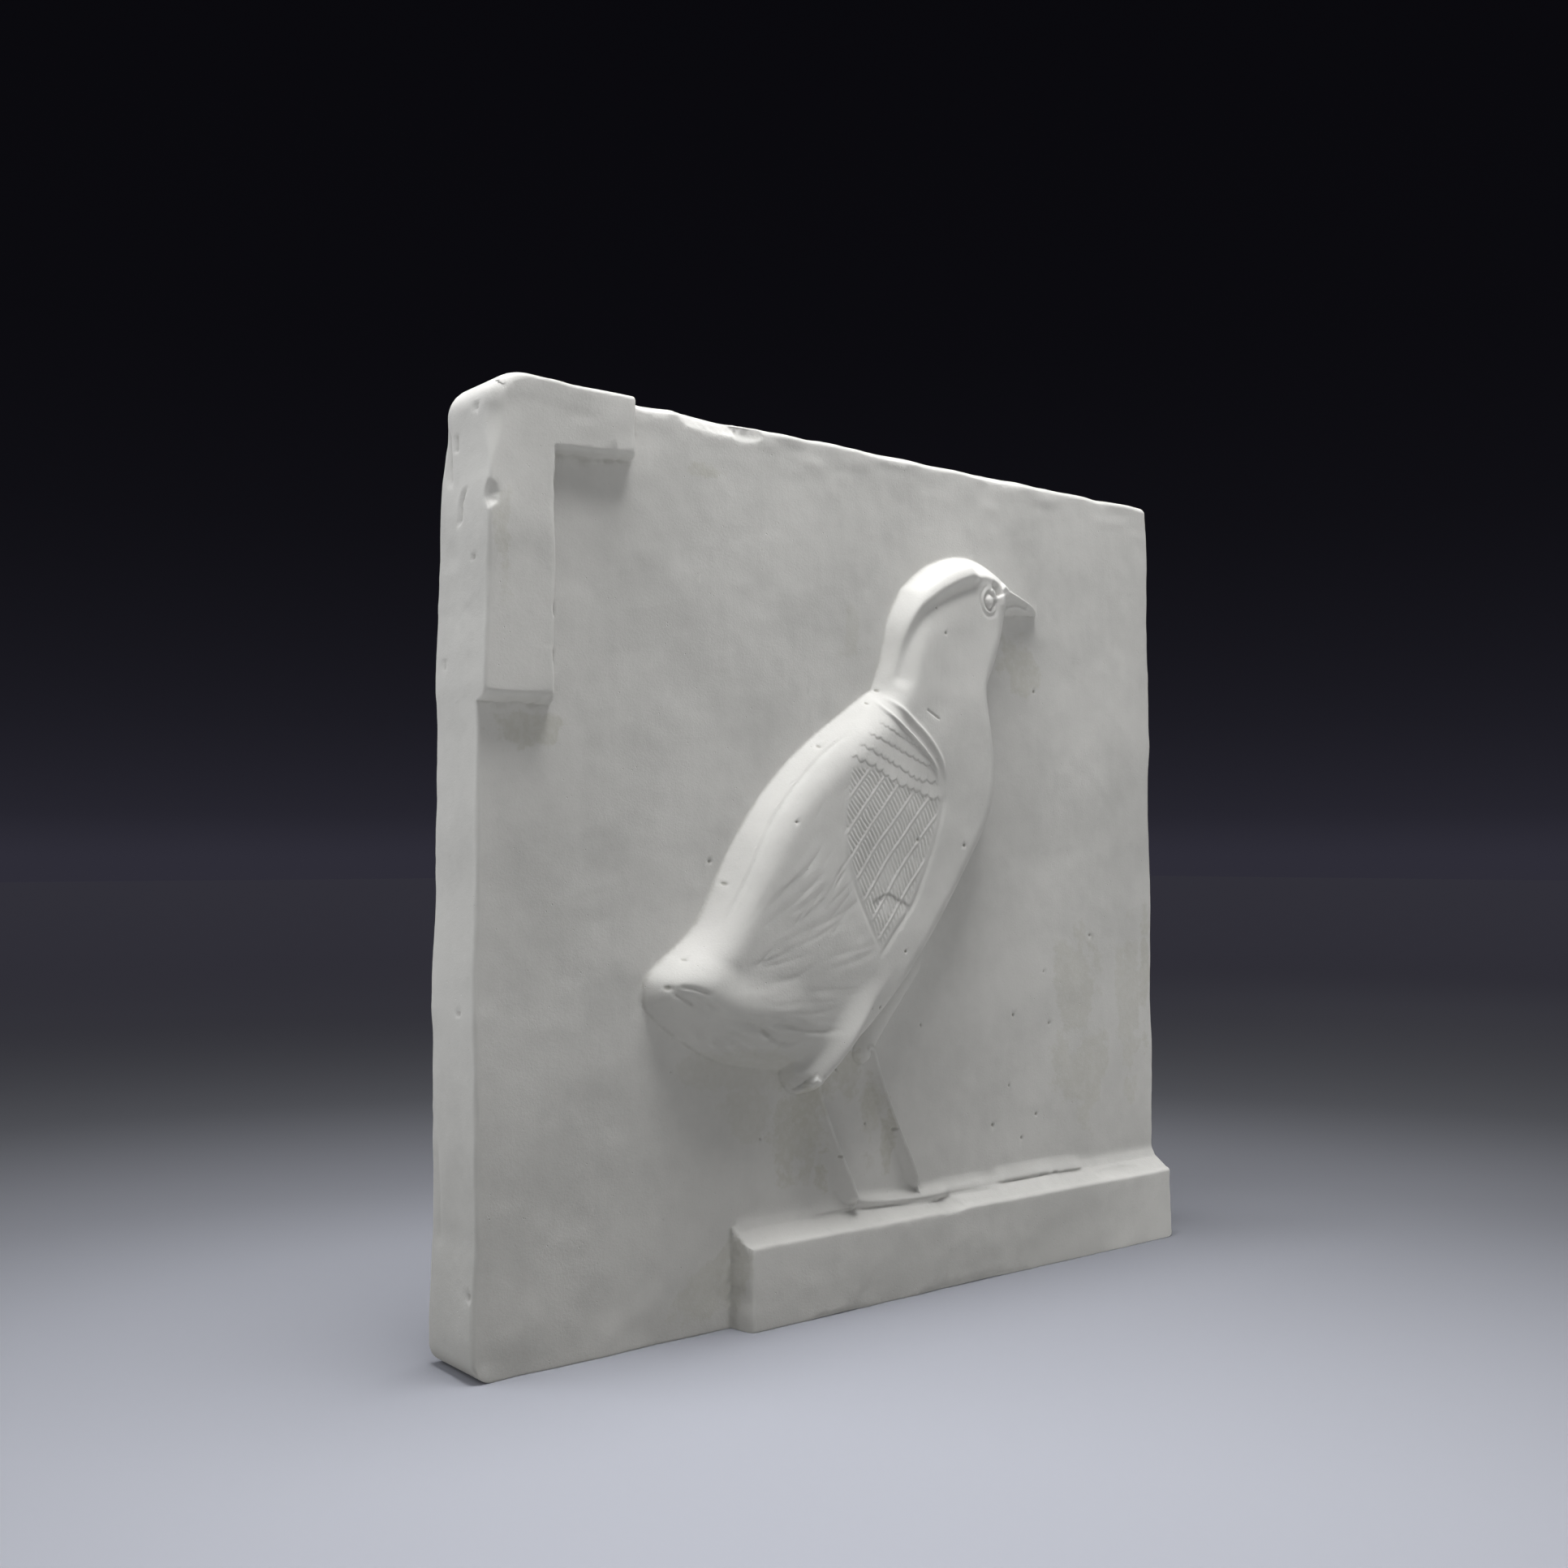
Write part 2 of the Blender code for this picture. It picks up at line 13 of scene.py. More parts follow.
import bpy
import numpy as np
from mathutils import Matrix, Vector

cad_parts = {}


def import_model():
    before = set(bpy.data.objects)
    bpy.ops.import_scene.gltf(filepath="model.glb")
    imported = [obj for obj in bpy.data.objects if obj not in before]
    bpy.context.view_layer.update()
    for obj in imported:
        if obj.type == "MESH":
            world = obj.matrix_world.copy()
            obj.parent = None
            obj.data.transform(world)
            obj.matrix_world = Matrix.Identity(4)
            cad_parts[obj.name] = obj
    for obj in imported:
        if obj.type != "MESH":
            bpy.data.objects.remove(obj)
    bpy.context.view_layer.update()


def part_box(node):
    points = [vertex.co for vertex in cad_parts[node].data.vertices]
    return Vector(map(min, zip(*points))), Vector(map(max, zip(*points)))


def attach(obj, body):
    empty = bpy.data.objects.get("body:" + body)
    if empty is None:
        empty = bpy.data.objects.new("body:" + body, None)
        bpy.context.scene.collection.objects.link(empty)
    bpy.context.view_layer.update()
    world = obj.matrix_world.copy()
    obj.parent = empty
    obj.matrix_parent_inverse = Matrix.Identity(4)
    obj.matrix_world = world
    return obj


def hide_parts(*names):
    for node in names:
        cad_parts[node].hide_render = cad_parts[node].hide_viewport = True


LOG = logging.getLogger("plaster_relief")
NODE = "relief_plaque"

Numbers = np.ndarray
Stations = tuple[tuple[float, ...], ...]


def ease(value: Numbers) -> Numbers:
    """A smooth step.

    Args:
        value: Any numbers.

    Returns:
        0 up to 0, 1 from 1 on, and a smooth rise between.
    """
    value = np.clip(value, 0.0, 1.0)
    return value * value * (3.0 - 2.0 * value)


def rounded(value: Numbers) -> Numbers:
    """A quarter round.

    Args:
        value: Share of the way in from the foot.

    Returns:
        Height from 0 to 1, steep at the foot and level at the top.
    """
    return np.sqrt(1.0 - (1.0 - np.clip(value, 0.0, 1.0)) ** 2)


def swelling(value: Numbers) -> Numbers:
    """The soft profile of the bird's body.

    Args:
        value: Share of the way in from the outline.

    Returns:
        Height from 0 to 1 that rises from the ground and rounds off.
    """
    value = np.clip(value, 0.0, 1.0)
    rise = 1.0 - (1.0 - value) ** 2.5
    return rise * ease(value / 0.10 + 0.35)


def blend_up(first: Numbers, second: Numbers, soft: float) -> Numbers:
    """The higher of two heights.

    Args:
        first: One height.
        second: The other height.
        soft: Difference in height over which the joint is eased.

    Returns:
        The height with a soft joint.
    """
    return np.maximum(first, second) + np.maximum(soft - np.abs(first - second), 0.0) ** 2 / (4.0 * soft)


def wave(first: Numbers, second: Numbers, length: float, seed: int) -> Numbers:
    """A gentle unevenness.

    Args:
        first: One coordinate.
        second: The other coordinate.
        length: Length of one swell.
        seed: Picks one of many patterns.

    Returns:
        Numbers between about -1 and 1.
    """
    total = 0.0
    for turn in range(4):
        angle = seed * 1.7 + turn * 2.1
        pace = 2.0 * np.pi / length * (0.7 + 0.37 * turn)
        total = total + np.sin(pace * (np.cos(angle) * first + np.sin(angle) * second) + seed * 5.3 + turn)
    return total / 3.0


def clouds(first: Numbers, second: Numbers, cell: float, seed: int) -> Numbers:
    """Seeded noise without a direction.

    Args:
        first: One coordinate.
        second: The other coordinate.
        cell: Size of one bump.
        seed: Picks one of many patterns.

    Returns:
        Numbers between -1 and 1.
    """
    size = 512
    table = np.random.default_rng(seed).uniform(-1.0, 1.0, (size, size))
    column, row = np.floor(first / cell), np.floor(second / cell)
    across, up = ease(first / cell - column), ease(second / cell - row)
    column, row = column.astype(int) % size, row.astype(int) % size
    next_column, next_row = (column + 1) % size, (row + 1) % size
    low = table[column, row] * (1.0 - across) + table[next_column, row] * across
    high = table[column, next_row] * (1.0 - across) + table[next_column, next_row] * across
    return low * (1.0 - up) + high * up


def spline(points: Stations | Numbers, steps: int = 7) -> Numbers:
    """A smooth line through given points.

    Args:
        points: Points with any number of values each.
        steps: Pieces between two points.

    Returns:
        The points of the line, one row each.
    """
    knots = np.asarray(points, float)
    knots = np.vstack([2 * knots[0] - knots[1], knots, 2 * knots[-1] - knots[-2]])
    shares = np.linspace(0.0, 1.0, steps, endpoint=False)[:, None]
    runs = []
    for before, start, end, after in zip(knots, knots[1:], knots[2:], knots[3:]):
        curve = 2 * before - 5 * start + 4 * end - after + shares * (3 * (start - end) + after - before)
        runs.append(start + 0.5 * shares * (end - before + shares * curve))
    return np.vstack(runs + [knots[-2:-1]])


@dataclass(frozen=True)
class Beside:
    """How some spots lie beside a line.

    Attributes:
        spots: Numbers of the spots that are near the line.
        distance: Distance of each from the line.
        across: The same, with a sign: positive on the left of the line's run.
        held: What the line holds at the nearest place, and last the share travelled.
    """

    spots: Numbers
    distance: Numbers
    across: Numbers
    held: Numbers

    @classmethod
    def line(cls, x: Numbers, z: Numbers, line: Numbers, reach: float) -> "Beside":
        """Measures spots against a line.

        Args:
            x: How far along the slab each spot is.
            z: How far up the slab each spot is.
            line: Points of the line, with whatever else they hold.
            reach: Distance beyond which spots are left out.

        Returns:
            The measured spots.
        """
        low = line[:, :2].min(axis=0) - reach
        high = line[:, :2].max(axis=0) + reach
        spots = np.flatnonzero((x > low[0]) & (x < high[0]) & (z > low[1]) & (z < high[1]))
        near_x, near_z = x[spots], z[spots]
        lengths = np.hypot(*np.diff(line[:, :2], axis=0).T)
        travelled = np.concatenate([[0.0], np.cumsum(lengths)]) / lengths.sum()
        full = np.column_stack([line, travelled])
        best = np.full(len(spots), np.inf)
        side = np.zeros(len(spots))
        held = np.zeros((len(spots), full.shape[1]))
        for start, end in zip(full, full[1:]):
            run = end[:2] - start[:2]
            along = (near_x - start[0]) * run[0] + (near_z - start[1]) * run[1]
            share = np.clip(along / (run @ run), 0.0, 1.0)
            away_x = near_x - start[0] - share * run[0]
            away_z = near_z - start[1] - share * run[1]
            distance = np.hypot(away_x, away_z)
            closer = distance < best
            best = np.where(closer, distance, best)
            side = np.where(closer, np.sign(run[0] * away_z - run[1] * away_x), side)
            held[closer] = start + share[closer, None] * (end - start)
        return cls(spots, best, best * side, held)


def depth_inside(x: Numbers, z: Numbers, loop: Numbers, soft: float) -> tuple[Numbers, Numbers]:
    """How deep each spot lies inside a closed outline, without the crease of a plain distance.

    Args:
        x: How far along the slab each spot is.
        z: How far up the slab each spot is.
        loop: Points of the outline, each with the width of the rounding there.
        soft: Length over which the very edge is softened.

    Returns:
        The depth in metres, 0 outside, and the width of the rounding.
    """
    total = np.zeros(x.shape)
    width = np.ones(x.shape)
    low, high = loop.min(axis=0), loop.max(axis=0)
    spots = np.flatnonzero((x > low[0]) & (x < high[0]) & (z > low[1]) & (z < high[1]))
    near_x, near_z = x[spots], z[spots]
    pull = np.zeros(len(spots))
    pulled_width = np.zeros(len(spots))
    inside = np.zeros(len(spots), bool)
    for start, end in zip(loop, np.roll(loop, -1, axis=0)):
        run = end[:2] - start[:2]
        length = np.hypot(*run)
        if length < 1e-7:
            continue
        along = ((near_x - start[0]) * run[0] + (near_z - start[1]) * run[1]) / length
        across = ((near_x - start[0]) * run[1] - (near_z - start[1]) * run[0]) / length
        near = across ** 2 + soft ** 2
        left = length - along
        share = (left / np.sqrt(near + left ** 2) + along / np.sqrt(near + along ** 2)) / near
        pull += share
        pulled_width += share * start[2]
        crosses = (start[1] > near_z) != (end[1] > near_z)
        rise = end[1] - start[1] if end[1] != start[1] else 1.0
        inside ^= crosses & (near_x < start[0] + (near_z - start[1]) / rise * run[0])
    depth = np.sqrt(np.maximum(2.0 / pull - soft ** 2, 0.0))
    total[spots] = np.where(inside, depth, 0.0)
    width[spots] = pulled_width / pull
    return total, width


@dataclass(frozen=True)
class BirdFrame:
    """Where the bird stands and how large it is. Its parts are given as shares of these."""

    from_left: float = 0.0882
    foot: float = 0.0203
    height: float = 0.1397
    relief: float = 0.0082

    def placed(self, stations: Stations | Numbers) -> Numbers:
        """Turns shares of the bird into metres on the slab.

        Args:
            stations: Places, and half widths where there are any.

        Returns:
            The same in metres from the slab's lower left corner.
        """
        placed = np.array(stations, float)
        placed[:, 0] = self.from_left + placed[:, 0] * self.height
        placed[:, 1] = self.foot + placed[:, 1] * self.height
        placed[:, 2:3] *= self.height
        return placed


class Mark(Enum):
    """What a stroke leaves in the plaster."""

    ROUND = "a soft cord or groove"
    CREASE = "a narrow line with a sharp bottom or crest"
    STEP = "a step whose left side stands higher"


@dataclass(frozen=True)
class Stroke:
    """One line drawn in the plaster.

    Attributes:
        points: Its points, as shares of the bird.
        half_width: Half its width in metres.
        relief: Its height in metres, negative where it is cut.
        mark: What it leaves.
        fade: Share of its length over which it fades at each end.
        reach: How many half widths its step reaches to the left.
    """

    points: Stations
    half_width: float
    relief: float
    mark: Mark = Mark.ROUND
    fade: float = 0.12
    reach: float = 4.0

    def height(self, frame: BirdFrame, x: Numbers, z: Numbers) -> Numbers:
        """What the stroke adds to the height.

        Args:
            frame: Where the bird stands.
            x: How far along the slab each spot is.
            z: How far up the slab each spot is.

        Returns:
            The added height in metres.
        """
        total = np.zeros(x.shape)
        span = (self.reach + 3.0) if self.mark is Mark.STEP else 3.0
        near = Beside.line(x, z, spline(frame.placed(self.points)), span * self.half_width)
        share = near.held[:, -1]
        fade = ease(share / self.fade) * ease((1.0 - share) / self.fade)
        if self.mark is Mark.ROUND:
            shape = np.exp(-(near.distance / self.half_width) ** 2)
        elif self.mark is Mark.CREASE:
            shape = np.maximum(1.0 - near.distance / (1.6 * self.half_width), 0.0) ** 1.3
        else:
            across = near.across / self.half_width
            shape = ease((across + 1.0) / 2.0) * ease((self.reach + 2.0 - across) / self.reach)
        total[near.spots] = self.relief * shape * fade
        return total


@dataclass(frozen=True)
class Limb:
    """A bar such as a thigh, a shank or a toe.

    Attributes:
        stations: Place, half width and share of the bird's relief at each station.
        lean: How far the crest lies to the left of the middle, as a share of the half width.
        fullness: Power of the flank's curve: 2 is round, 1 is a ridge.
        drop: Power of the fall at the edge: lower is steeper.
        hollow: Power of a hollow flank on the right of the run, 0 where it is like the other.
    """

    stations: Stations
    lean: float = 0.0
    fullness: float = 2.0
    drop: float = 0.7
    hollow: float = 0.0

    def height(self, frame: BirdFrame, x: Numbers, z: Numbers) -> Numbers:
        """Height of the bar over the slab.

        Args:
            frame: Where the bird stands.
            x: How far along the slab each spot is.
            z: How far up the slab each spot is.

        Returns:
            The height in metres, 0 beyond the bar.
        """
        total = np.zeros(x.shape)
        line = spline(frame.placed(self.stations))
        near = Beside.line(x, z, line, line[:, 2].max())
        share = near.across / near.held[:, 2]
        left = np.clip((share - self.lean) / (1.0 - self.lean), 0.0, 1.0)
        right = np.clip((self.lean - share) / (1.0 + self.lean), 0.0, 1.0)
        past_end = near.distance > near.held[:, 2]
        flank = (1.0 - left ** self.fullness) ** self.drop
        flank = flank * ((1.0 - right) ** self.hollow if self.hollow else
                         (1.0 - right ** self.fullness) ** self.drop)
        total[near.spots] = np.where(past_end, 0.0, frame.relief * near.held[:, 3] * flank)
        return total


@dataclass(frozen=True)
class ScaleRow:
    """A row of small lobed feathers that overlap like shingles.

    Attributes:
        points: The line of their lower ends, as shares of the bird.
        lobes: How many there are.
        lobe: How far each lobe hangs below the line, in metres.
        thick: Thickness at the lobes' ends, in metres.
        depth: Height over which they thin out above, in metres.
    """

    points: Stations
    lobes: int
    lobe: float
    thick: float
    depth: float = 0.0026

    def height(self, frame: BirdFrame, x: Numbers, z: Numbers) -> Numbers:
        """What the row adds to the height.

        Args:
            frame: Where the bird stands.
            x: How far along the slab each spot is.
            z: How far up the slab each spot is.

        Returns:
            The added height in metres.
        """
        total = np.zeros(x.shape)
        line = spline(frame.placed(self.points))
        near = Beside.line(x, z, line, 2.2 * self.depth)
        share = near.held[:, -1]
        turn = share * self.lobes + 0.16 * np.sin(share * 19.0 + self.lobes)
        bow = np.abs(np.sin(np.pi * turn)) ** 0.7
        ragged = 0.30 * clouds(x[near.spots], z[near.spots], 0.0016, 40 + self.lobes)
        above = near.across + self.lobe * (bow - 0.45 + ragged)
        crisp = 0.00022
        body = np.exp(-np.maximum(above, 0.0) / self.depth) * ease(above / crisp + 0.5)
        seam = np.exp(-((above + 0.9 * crisp) / crisp) ** 2)
        cusp = np.exp(-(np.abs(np.sin(np.pi * turn)) / 0.16) ** 2) * ease(above / crisp + 0.5)
        cusp = cusp * ease(1.0 - above / (0.8 * self.depth))
        fade = ease(share / 0.08) * ease((1.0 - share) / 0.08)
        shape = body - 0.5 * seam - 0.7 * cusp
        total[near.spots] = self.thick * shape * fade
        return total


@dataclass(frozen=True)
class Body:
    """The bird's rounded body, neck and head. The roundings go with the outline's runs, from the nape on."""

    roundings: tuple[float, ...] = (0.0080, 0.0075, 0.0060, 0.0060, 0.0105, 0.0068, 0.0092)
    cover: float = 0.0031
    edge: float = 0.0008
    rise: Stations = ((0.18, 0.80), (0.35, 1.06), (0.55, 0.96), (0.74, 0.885), (0.84, 0.82), (1.0, 0.77))
    nape: Stations = ((0.039, 0.772), (0.058, 0.821), (0.075, 0.885), (0.103, 0.937))
    crown: Stations = ((0.103, 0.937), (0.155, 0.976), (0.219, 0.999), (0.271, 0.997), (0.316, 0.978),
                       (0.340, 0.955))
    throat: Stations = ((0.340, 0.955), (0.325, 0.915), (0.315, 0.876), (0.298, 0.827), (0.273, 0.781))
    breast: Stations = ((0.273, 0.781), (0.282, 0.729), (0.290, 0.663), (0.279, 0.590), (0.239, 0.519),
                        (0.099, 0.338), (-0.016, 0.226), (-0.060, 0.190))
    belly: Stations = ((-0.060, 0.190), (-0.097, 0.192), (-0.142, 0.205), (-0.245, 0.224), (-0.322, 0.264),
                       (-0.374, 0.305))
    tail: Stations = ((-0.374, 0.305), (-0.380, 0.325), (-0.374, 0.354), (-0.341, 0.383))
    back: Stations = ((-0.341, 0.383), (-0.292, 0.423), (-0.240, 0.516), (-0.186, 0.595), (-0.109, 0.672),
                      (0.013, 0.757), (0.039, 0.772))
    down_from: tuple[float, float] = (-0.372, 0.338)

    def outline(self, frame: BirdFrame) -> Numbers:
        """The closed outline.

        Args:
            frame: Where the bird stands.

        Returns:
            Its points in metres on the slab, each with the width of its rounding.
        """
        runs = (self.nape, self.crown, self.throat, self.breast, self.belly, self.tail, self.back)
        lines = [spline(frame.placed(run))[:-1] for run in runs]
        return np.vstack([np.column_stack([line, np.full(len(line), rounding)])
                          for line, rounding in zip(lines, self.roundings)])

    def height(self, frame: BirdFrame, z: Numbers, depth: Numbers, width: Numbers) -> Numbers:
        """Height of the plain body.

        Args:
            frame: Where the bird stands.
            z: How far up the slab each spot is.
            depth: How deep each spot lies inside the outline.
            width: Width of the rounding at each spot.

        Returns:
            The height in metres.
        """
        up = (z - frame.foot) / frame.height
        rise = np.interp(up, *spline(self.rise).T)
        return frame.relief * rise * swelling(depth / width)

    def strokes(self) -> list[Stroke]:
        """The lines along the back and the soft down of the flank.

        Returns:
            The strokes.
        """
        outer = ((-0.021, 0.707), (-0.097, 0.654), (-0.173, 0.575), (-0.223, 0.493), (-0.255, 0.442),
                 (-0.286, 0.398))
        inner = ((-0.090, 0.676), (-0.166, 0.607), (-0.230, 0.512), (-0.274, 0.436))
        lines = [Stroke(outer, 0.00034, -0.00026, Mark.CREASE), Stroke(inner, 0.00030, -0.00016, Mark.CREASE)]
        random = np.random.default_rng(11)
        for count in range(44):
            angle = math.radians(-19.0 + 1.60 * count + random.uniform(-1.2, 1.2))
            start = random.uniform(0.10, 0.27)
            length = random.uniform(0.09, 0.20)
            bend = math.radians(random.uniform(4.0, 12.0))
            points = []
            for step in range(4):
                far = start + length * step / 3.0
                turned = angle + bend * (step / 3.0) ** 1.5
                points.append((self.down_from[0] + far * math.cos(turned),
                               self.down_from[1] + far * math.sin(turned) * 0.86 - 0.02 * step / 3.0))
            deep = random.uniform(0.00002, 0.00008)
            lines.append(Stroke(tuple(points), random.uniform(0.0004, 0.0009), -deep, fade=0.40))
        for count in range(13):
            start = (random.uniform(-0.34, -0.20), random.uniform(0.262, 0.302))
            length = random.uniform(0.08, 0.17)
            points = [(start[0] + length * share, start[1] - (0.055 + 0.003 * count) * share * (1.5 - share)
                       + random.uniform(-0.003, 0.003)) for share in (0.0, 0.35, 0.7, 1.0)]
            lines.append(Stroke(tuple(points), random.uniform(0.0005, 0.0009),
                                -random.uniform(0.00024, 0.00046), fade=0.35))
        return lines


@dataclass(frozen=True)
class Head:
    """The beak, the eye and the lines about them."""

    beak: Limb = Limb(((0.298, 0.938, 0.031, 0.62), (0.330, 0.935, 0.022, 0.56), (0.367, 0.931, 0.0140, 0.44),
                       (0.391, 0.926, 0.008, 0.32), (0.405, 0.922, 0.003, 0.20)), lean=0.45, fullness=1.6)
    eye: tuple[float, float] = (0.2590, 0.926)
    ball: float = 0.00120
    socket: float = 0.0028
    relief: float = 0.0006

    def eye_height(self, frame: BirdFrame, x: Numbers, z: Numbers) -> Numbers:
        """The ball of the eye in its almond socket.

        Args:
            frame: Where the bird stands.
            x: How far along the slab each spot is.
            z: How far up the slab each spot is.

        Returns:
            The added height in metres.
        """
        eye_x, eye_z = frame.placed([self.eye])[0]
        off_x, off_z = x - eye_x, (z - eye_z) * 0.80
        away = np.hypot(off_x, off_z)
        ball = 0.8 * self.relief * np.exp(-(away / (0.8 * self.ball)) ** 4)
        bed = -0.85 * self.relief * np.exp(-((away - 1.25 * self.ball) / (0.42 * self.ball)) ** 2)
        low_left = ease(0.75 - 0.9 * (off_x + 0.6 * off_z) / self.socket)
        lid = 0.45 * self.relief * np.exp(-((away - 0.66 * self.socket) / (0.14 * self.socket)) ** 2)
        ring = -0.40 * self.relief * np.exp(-((away - 0.95 * self.socket) / (0.15 * self.socket)) ** 2)
        return ball + bed + (lid + ring) * low_left

    def strokes(self) -> list[Stroke]:
        """The nape's rim, the brow, the cere and the beak's lines.

        Returns:
            The strokes.
        """
        groove = ((0.057, 0.776), (0.069, 0.807), (0.081, 0.839), (0.095, 0.868), (0.116, 0.896),
                  (0.144, 0.918), (0.178, 0.937), (0.211, 0.950), (0.244, 0.960))
        brow = ((0.218, 0.957), (0.236, 0.963), (0.258, 0.966), (0.281, 0.958), (0.289, 0.942),
                (0.294, 0.912))
        hollow = ((0.266, 0.952), (0.279, 0.949), (0.285, 0.936))
        ridge = ((0.262, 0.944), (0.268, 0.939), (0.271, 0.927))
        cere = ((0.296, 0.957), (0.305, 0.950), (0.309, 0.940))
        mouth = ((0.306, 0.915), (0.322, 0.921), (0.342, 0.925), (0.364, 0.924), (0.394, 0.919))
        lower = ((0.302, 0.905), (0.330, 0.912), (0.366, 0.915))
        side = ((0.316, 0.936), (0.345, 0.936), (0.375, 0.931))
        crease = Mark.CREASE
        return [Stroke(groove, 0.0018, 0.0022, Mark.STEP, fade=0.08, reach=3.4),
                Stroke(groove, 0.0032, -0.0009, fade=0.08),
                Stroke(brow, 0.0010, 0.00055),
                Stroke(hollow, 0.0011, -0.0010),
                Stroke(ridge, 0.0006, 0.0006),
                Stroke(cere, 0.0011, 0.0007),
                Stroke(side, 0.0010, -0.0004),
                Stroke(mouth, 0.0005, 0.0007),
                Stroke(lower, 0.00035, -0.0005, crease),
                Stroke(lower, 0.0006, -0.0004)]

    def height(self, frame: BirdFrame, x: Numbers, z: Numbers) -> Numbers:
        """What the head's features add to the body.

        Args:
            frame: Where the bird stands.
            x: How far along the slab each spot is.
            z: How far up the slab each spot is.

        Returns:
            The added height in metres.
        """
        lines = sum(stroke.height(frame, x, z) for stroke in self.strokes()[2:])
        return lines + self.eye_height(frame, x, z)

    def nape(self, frame: BirdFrame, x: Numbers, z: Numbers) -> Numbers:
        """The raised rim of the nape and crown, with the hollow under it.

        Args:
            frame: Where the bird stands.
            x: How far along the slab each spot is.
            z: How far up the slab each spot is.

        Returns:
            The added height in metres.
        """
        return sum(stroke.height(frame, x, z) for stroke in self.strokes()[:2])


@dataclass(frozen=True)
class Wing:
    """The folded wing: shoulder cords, rows of scales, and long feathers with their barbs."""

    cord: float = 0.00055
    cord_relief: float = 0.0006
    shaft_gap: float = 0.0040
    shaft_angle: float = 47.0
    barb_gap: float = 0.00098
    barb_depth: float = 0.00032
    inner: Stations = ((0.030, 0.765), (0.036, 0.742), (0.054, 0.721), (0.094, 0.689), (0.123, 0.660),
                       (0.134, 0.629))
    outer: Stations = ((0.040, 0.768), (0.050, 0.755), (0.073, 0.733), (0.113, 0.700), (0.140, 0.666),
                       (0.152, 0.628))
    rear: Stations = ((-0.050, 0.649), (-0.060, 0.577), (-0.059, 0.540), (-0.049, 0.493), (-0.021, 0.431),
                      (0.008, 0.375))
    front: Stations = ((0.148, 0.622), (0.138, 0.580), (0.122, 0.537), (0.100, 0.490), (0.073, 0.443),
                       (0.034, 0.402), (0.010, 0.374), (-0.002, 0.362))
    tier: Stations = ((-0.012, 0.449), (0.021, 0.463), (0.045, 0.455), (0.070, 0.443))
    vane: Stations = ((-0.045, 0.652), (-0.057, 0.580), (-0.056, 0.540), (-0.046, 0.493), (-0.018, 0.431),
                      (0.006, 0.384), (0.034, 0.409), (0.071, 0.449), (0.097, 0.494), (0.119, 0.540),
                      (0.134, 0.583), (0.136, 0.606), (0.090, 0.617), (0.040, 0.634), (0.000, 0.652))

    def rows(self) -> list[ScaleRow]:
        """The rows of scales, from the shoulder down.

        Returns:
            The rows.
        """
        first = ((0.018, 0.722), (0.046, 0.706), (0.078, 0.692), (0.110, 0.677))
        second = ((-0.006, 0.704), (0.030, 0.689), (0.069, 0.673), (0.100, 0.662), (0.128, 0.654))
        third = ((-0.026, 0.688), (0.006, 0.674), (0.053, 0.654), (0.093, 0.636), (0.138, 0.630))
        fourth = ((-0.046, 0.669), (-0.010, 0.658), (0.028, 0.639), (0.068, 0.624), (0.111, 0.611),
                  (0.144, 0.606))
        return [ScaleRow(first, 11, 0.00040, 0.00011, 0.0018),
                ScaleRow(second, 11, 0.00060, 0.00013, 0.0022),
                ScaleRow(third, 12, 0.00080, 0.00013, 0.0024),
                ScaleRow(fourth, 12, 0.00100, 0.00015, 0.0026)]

    def barbs(self, frame: BirdFrame, x: Numbers, z: Numbers) -> Numbers:
        """The shafts of the long feathers and the fine barbs between them.

        Args:
            frame: Where the bird stands.
            x: How far along the slab each spot is.
            z: How far up the slab each spot is.

        Returns:
            The added height in metres.
        """
        total = np.zeros(x.shape)
        vane = spline(frame.placed(self.vane))
        cover = ease(depth_inside(x, z, np.column_stack([vane, vane[:, 0]]), 0.0003)[0] / 0.0011 - 0.1)
        spots = np.flatnonzero(cover > 0.0)
        corner = frame.placed([(-0.062, 0.574)])[0]
        near_x, near_z = x[spots] - corner[0], z[spots] - corner[1]
        slant = math.radians(self.shaft_angle)
        along = near_x * math.cos(slant) + near_z * math.sin(slant)
        over = near_x * math.sin(slant) - near_z * math.cos(slant) - 2.0 * (along - 0.012) ** 2
        over = over + 0.0002 * wave(near_x, near_z, 0.02, 9)
        place = over / self.shaft_gap + 0.35
        zone = np.floor(place)
        within = place - zone
        lean = np.radians(np.clip(50.0 + 5.0 * zone, 46.0, 82.0))
        phase = (near_x * np.sin(lean) + near_z * np.cos(lean)) / self.barb_gap + 0.37 * zone
        phase = phase + 0.18 * clouds(near_x, near_z, 0.0018, 21)
        cut = np.abs(np.sin(np.pi * phase)) ** 1.6
        inside = ease((within - 0.10) / 0.12) * ease((0.95 - within) / 0.10)
        strength = 0.65 + 0.35 * clouds(near_x, near_z, 0.006, 22)
        shaft_off = np.minimum(within, 1.0 - within) * self.shaft_gap
        shaft = np.exp(-(shaft_off / 0.00024) ** 2) - 0.6 * np.exp(-((shaft_off - 0.00050) / 0.00022) ** 2)
        height = self.barb_depth * strength * (cut - 0.6) * inside + 0.00009 * shaft
        total[spots] = height * cover[spots]
        return total

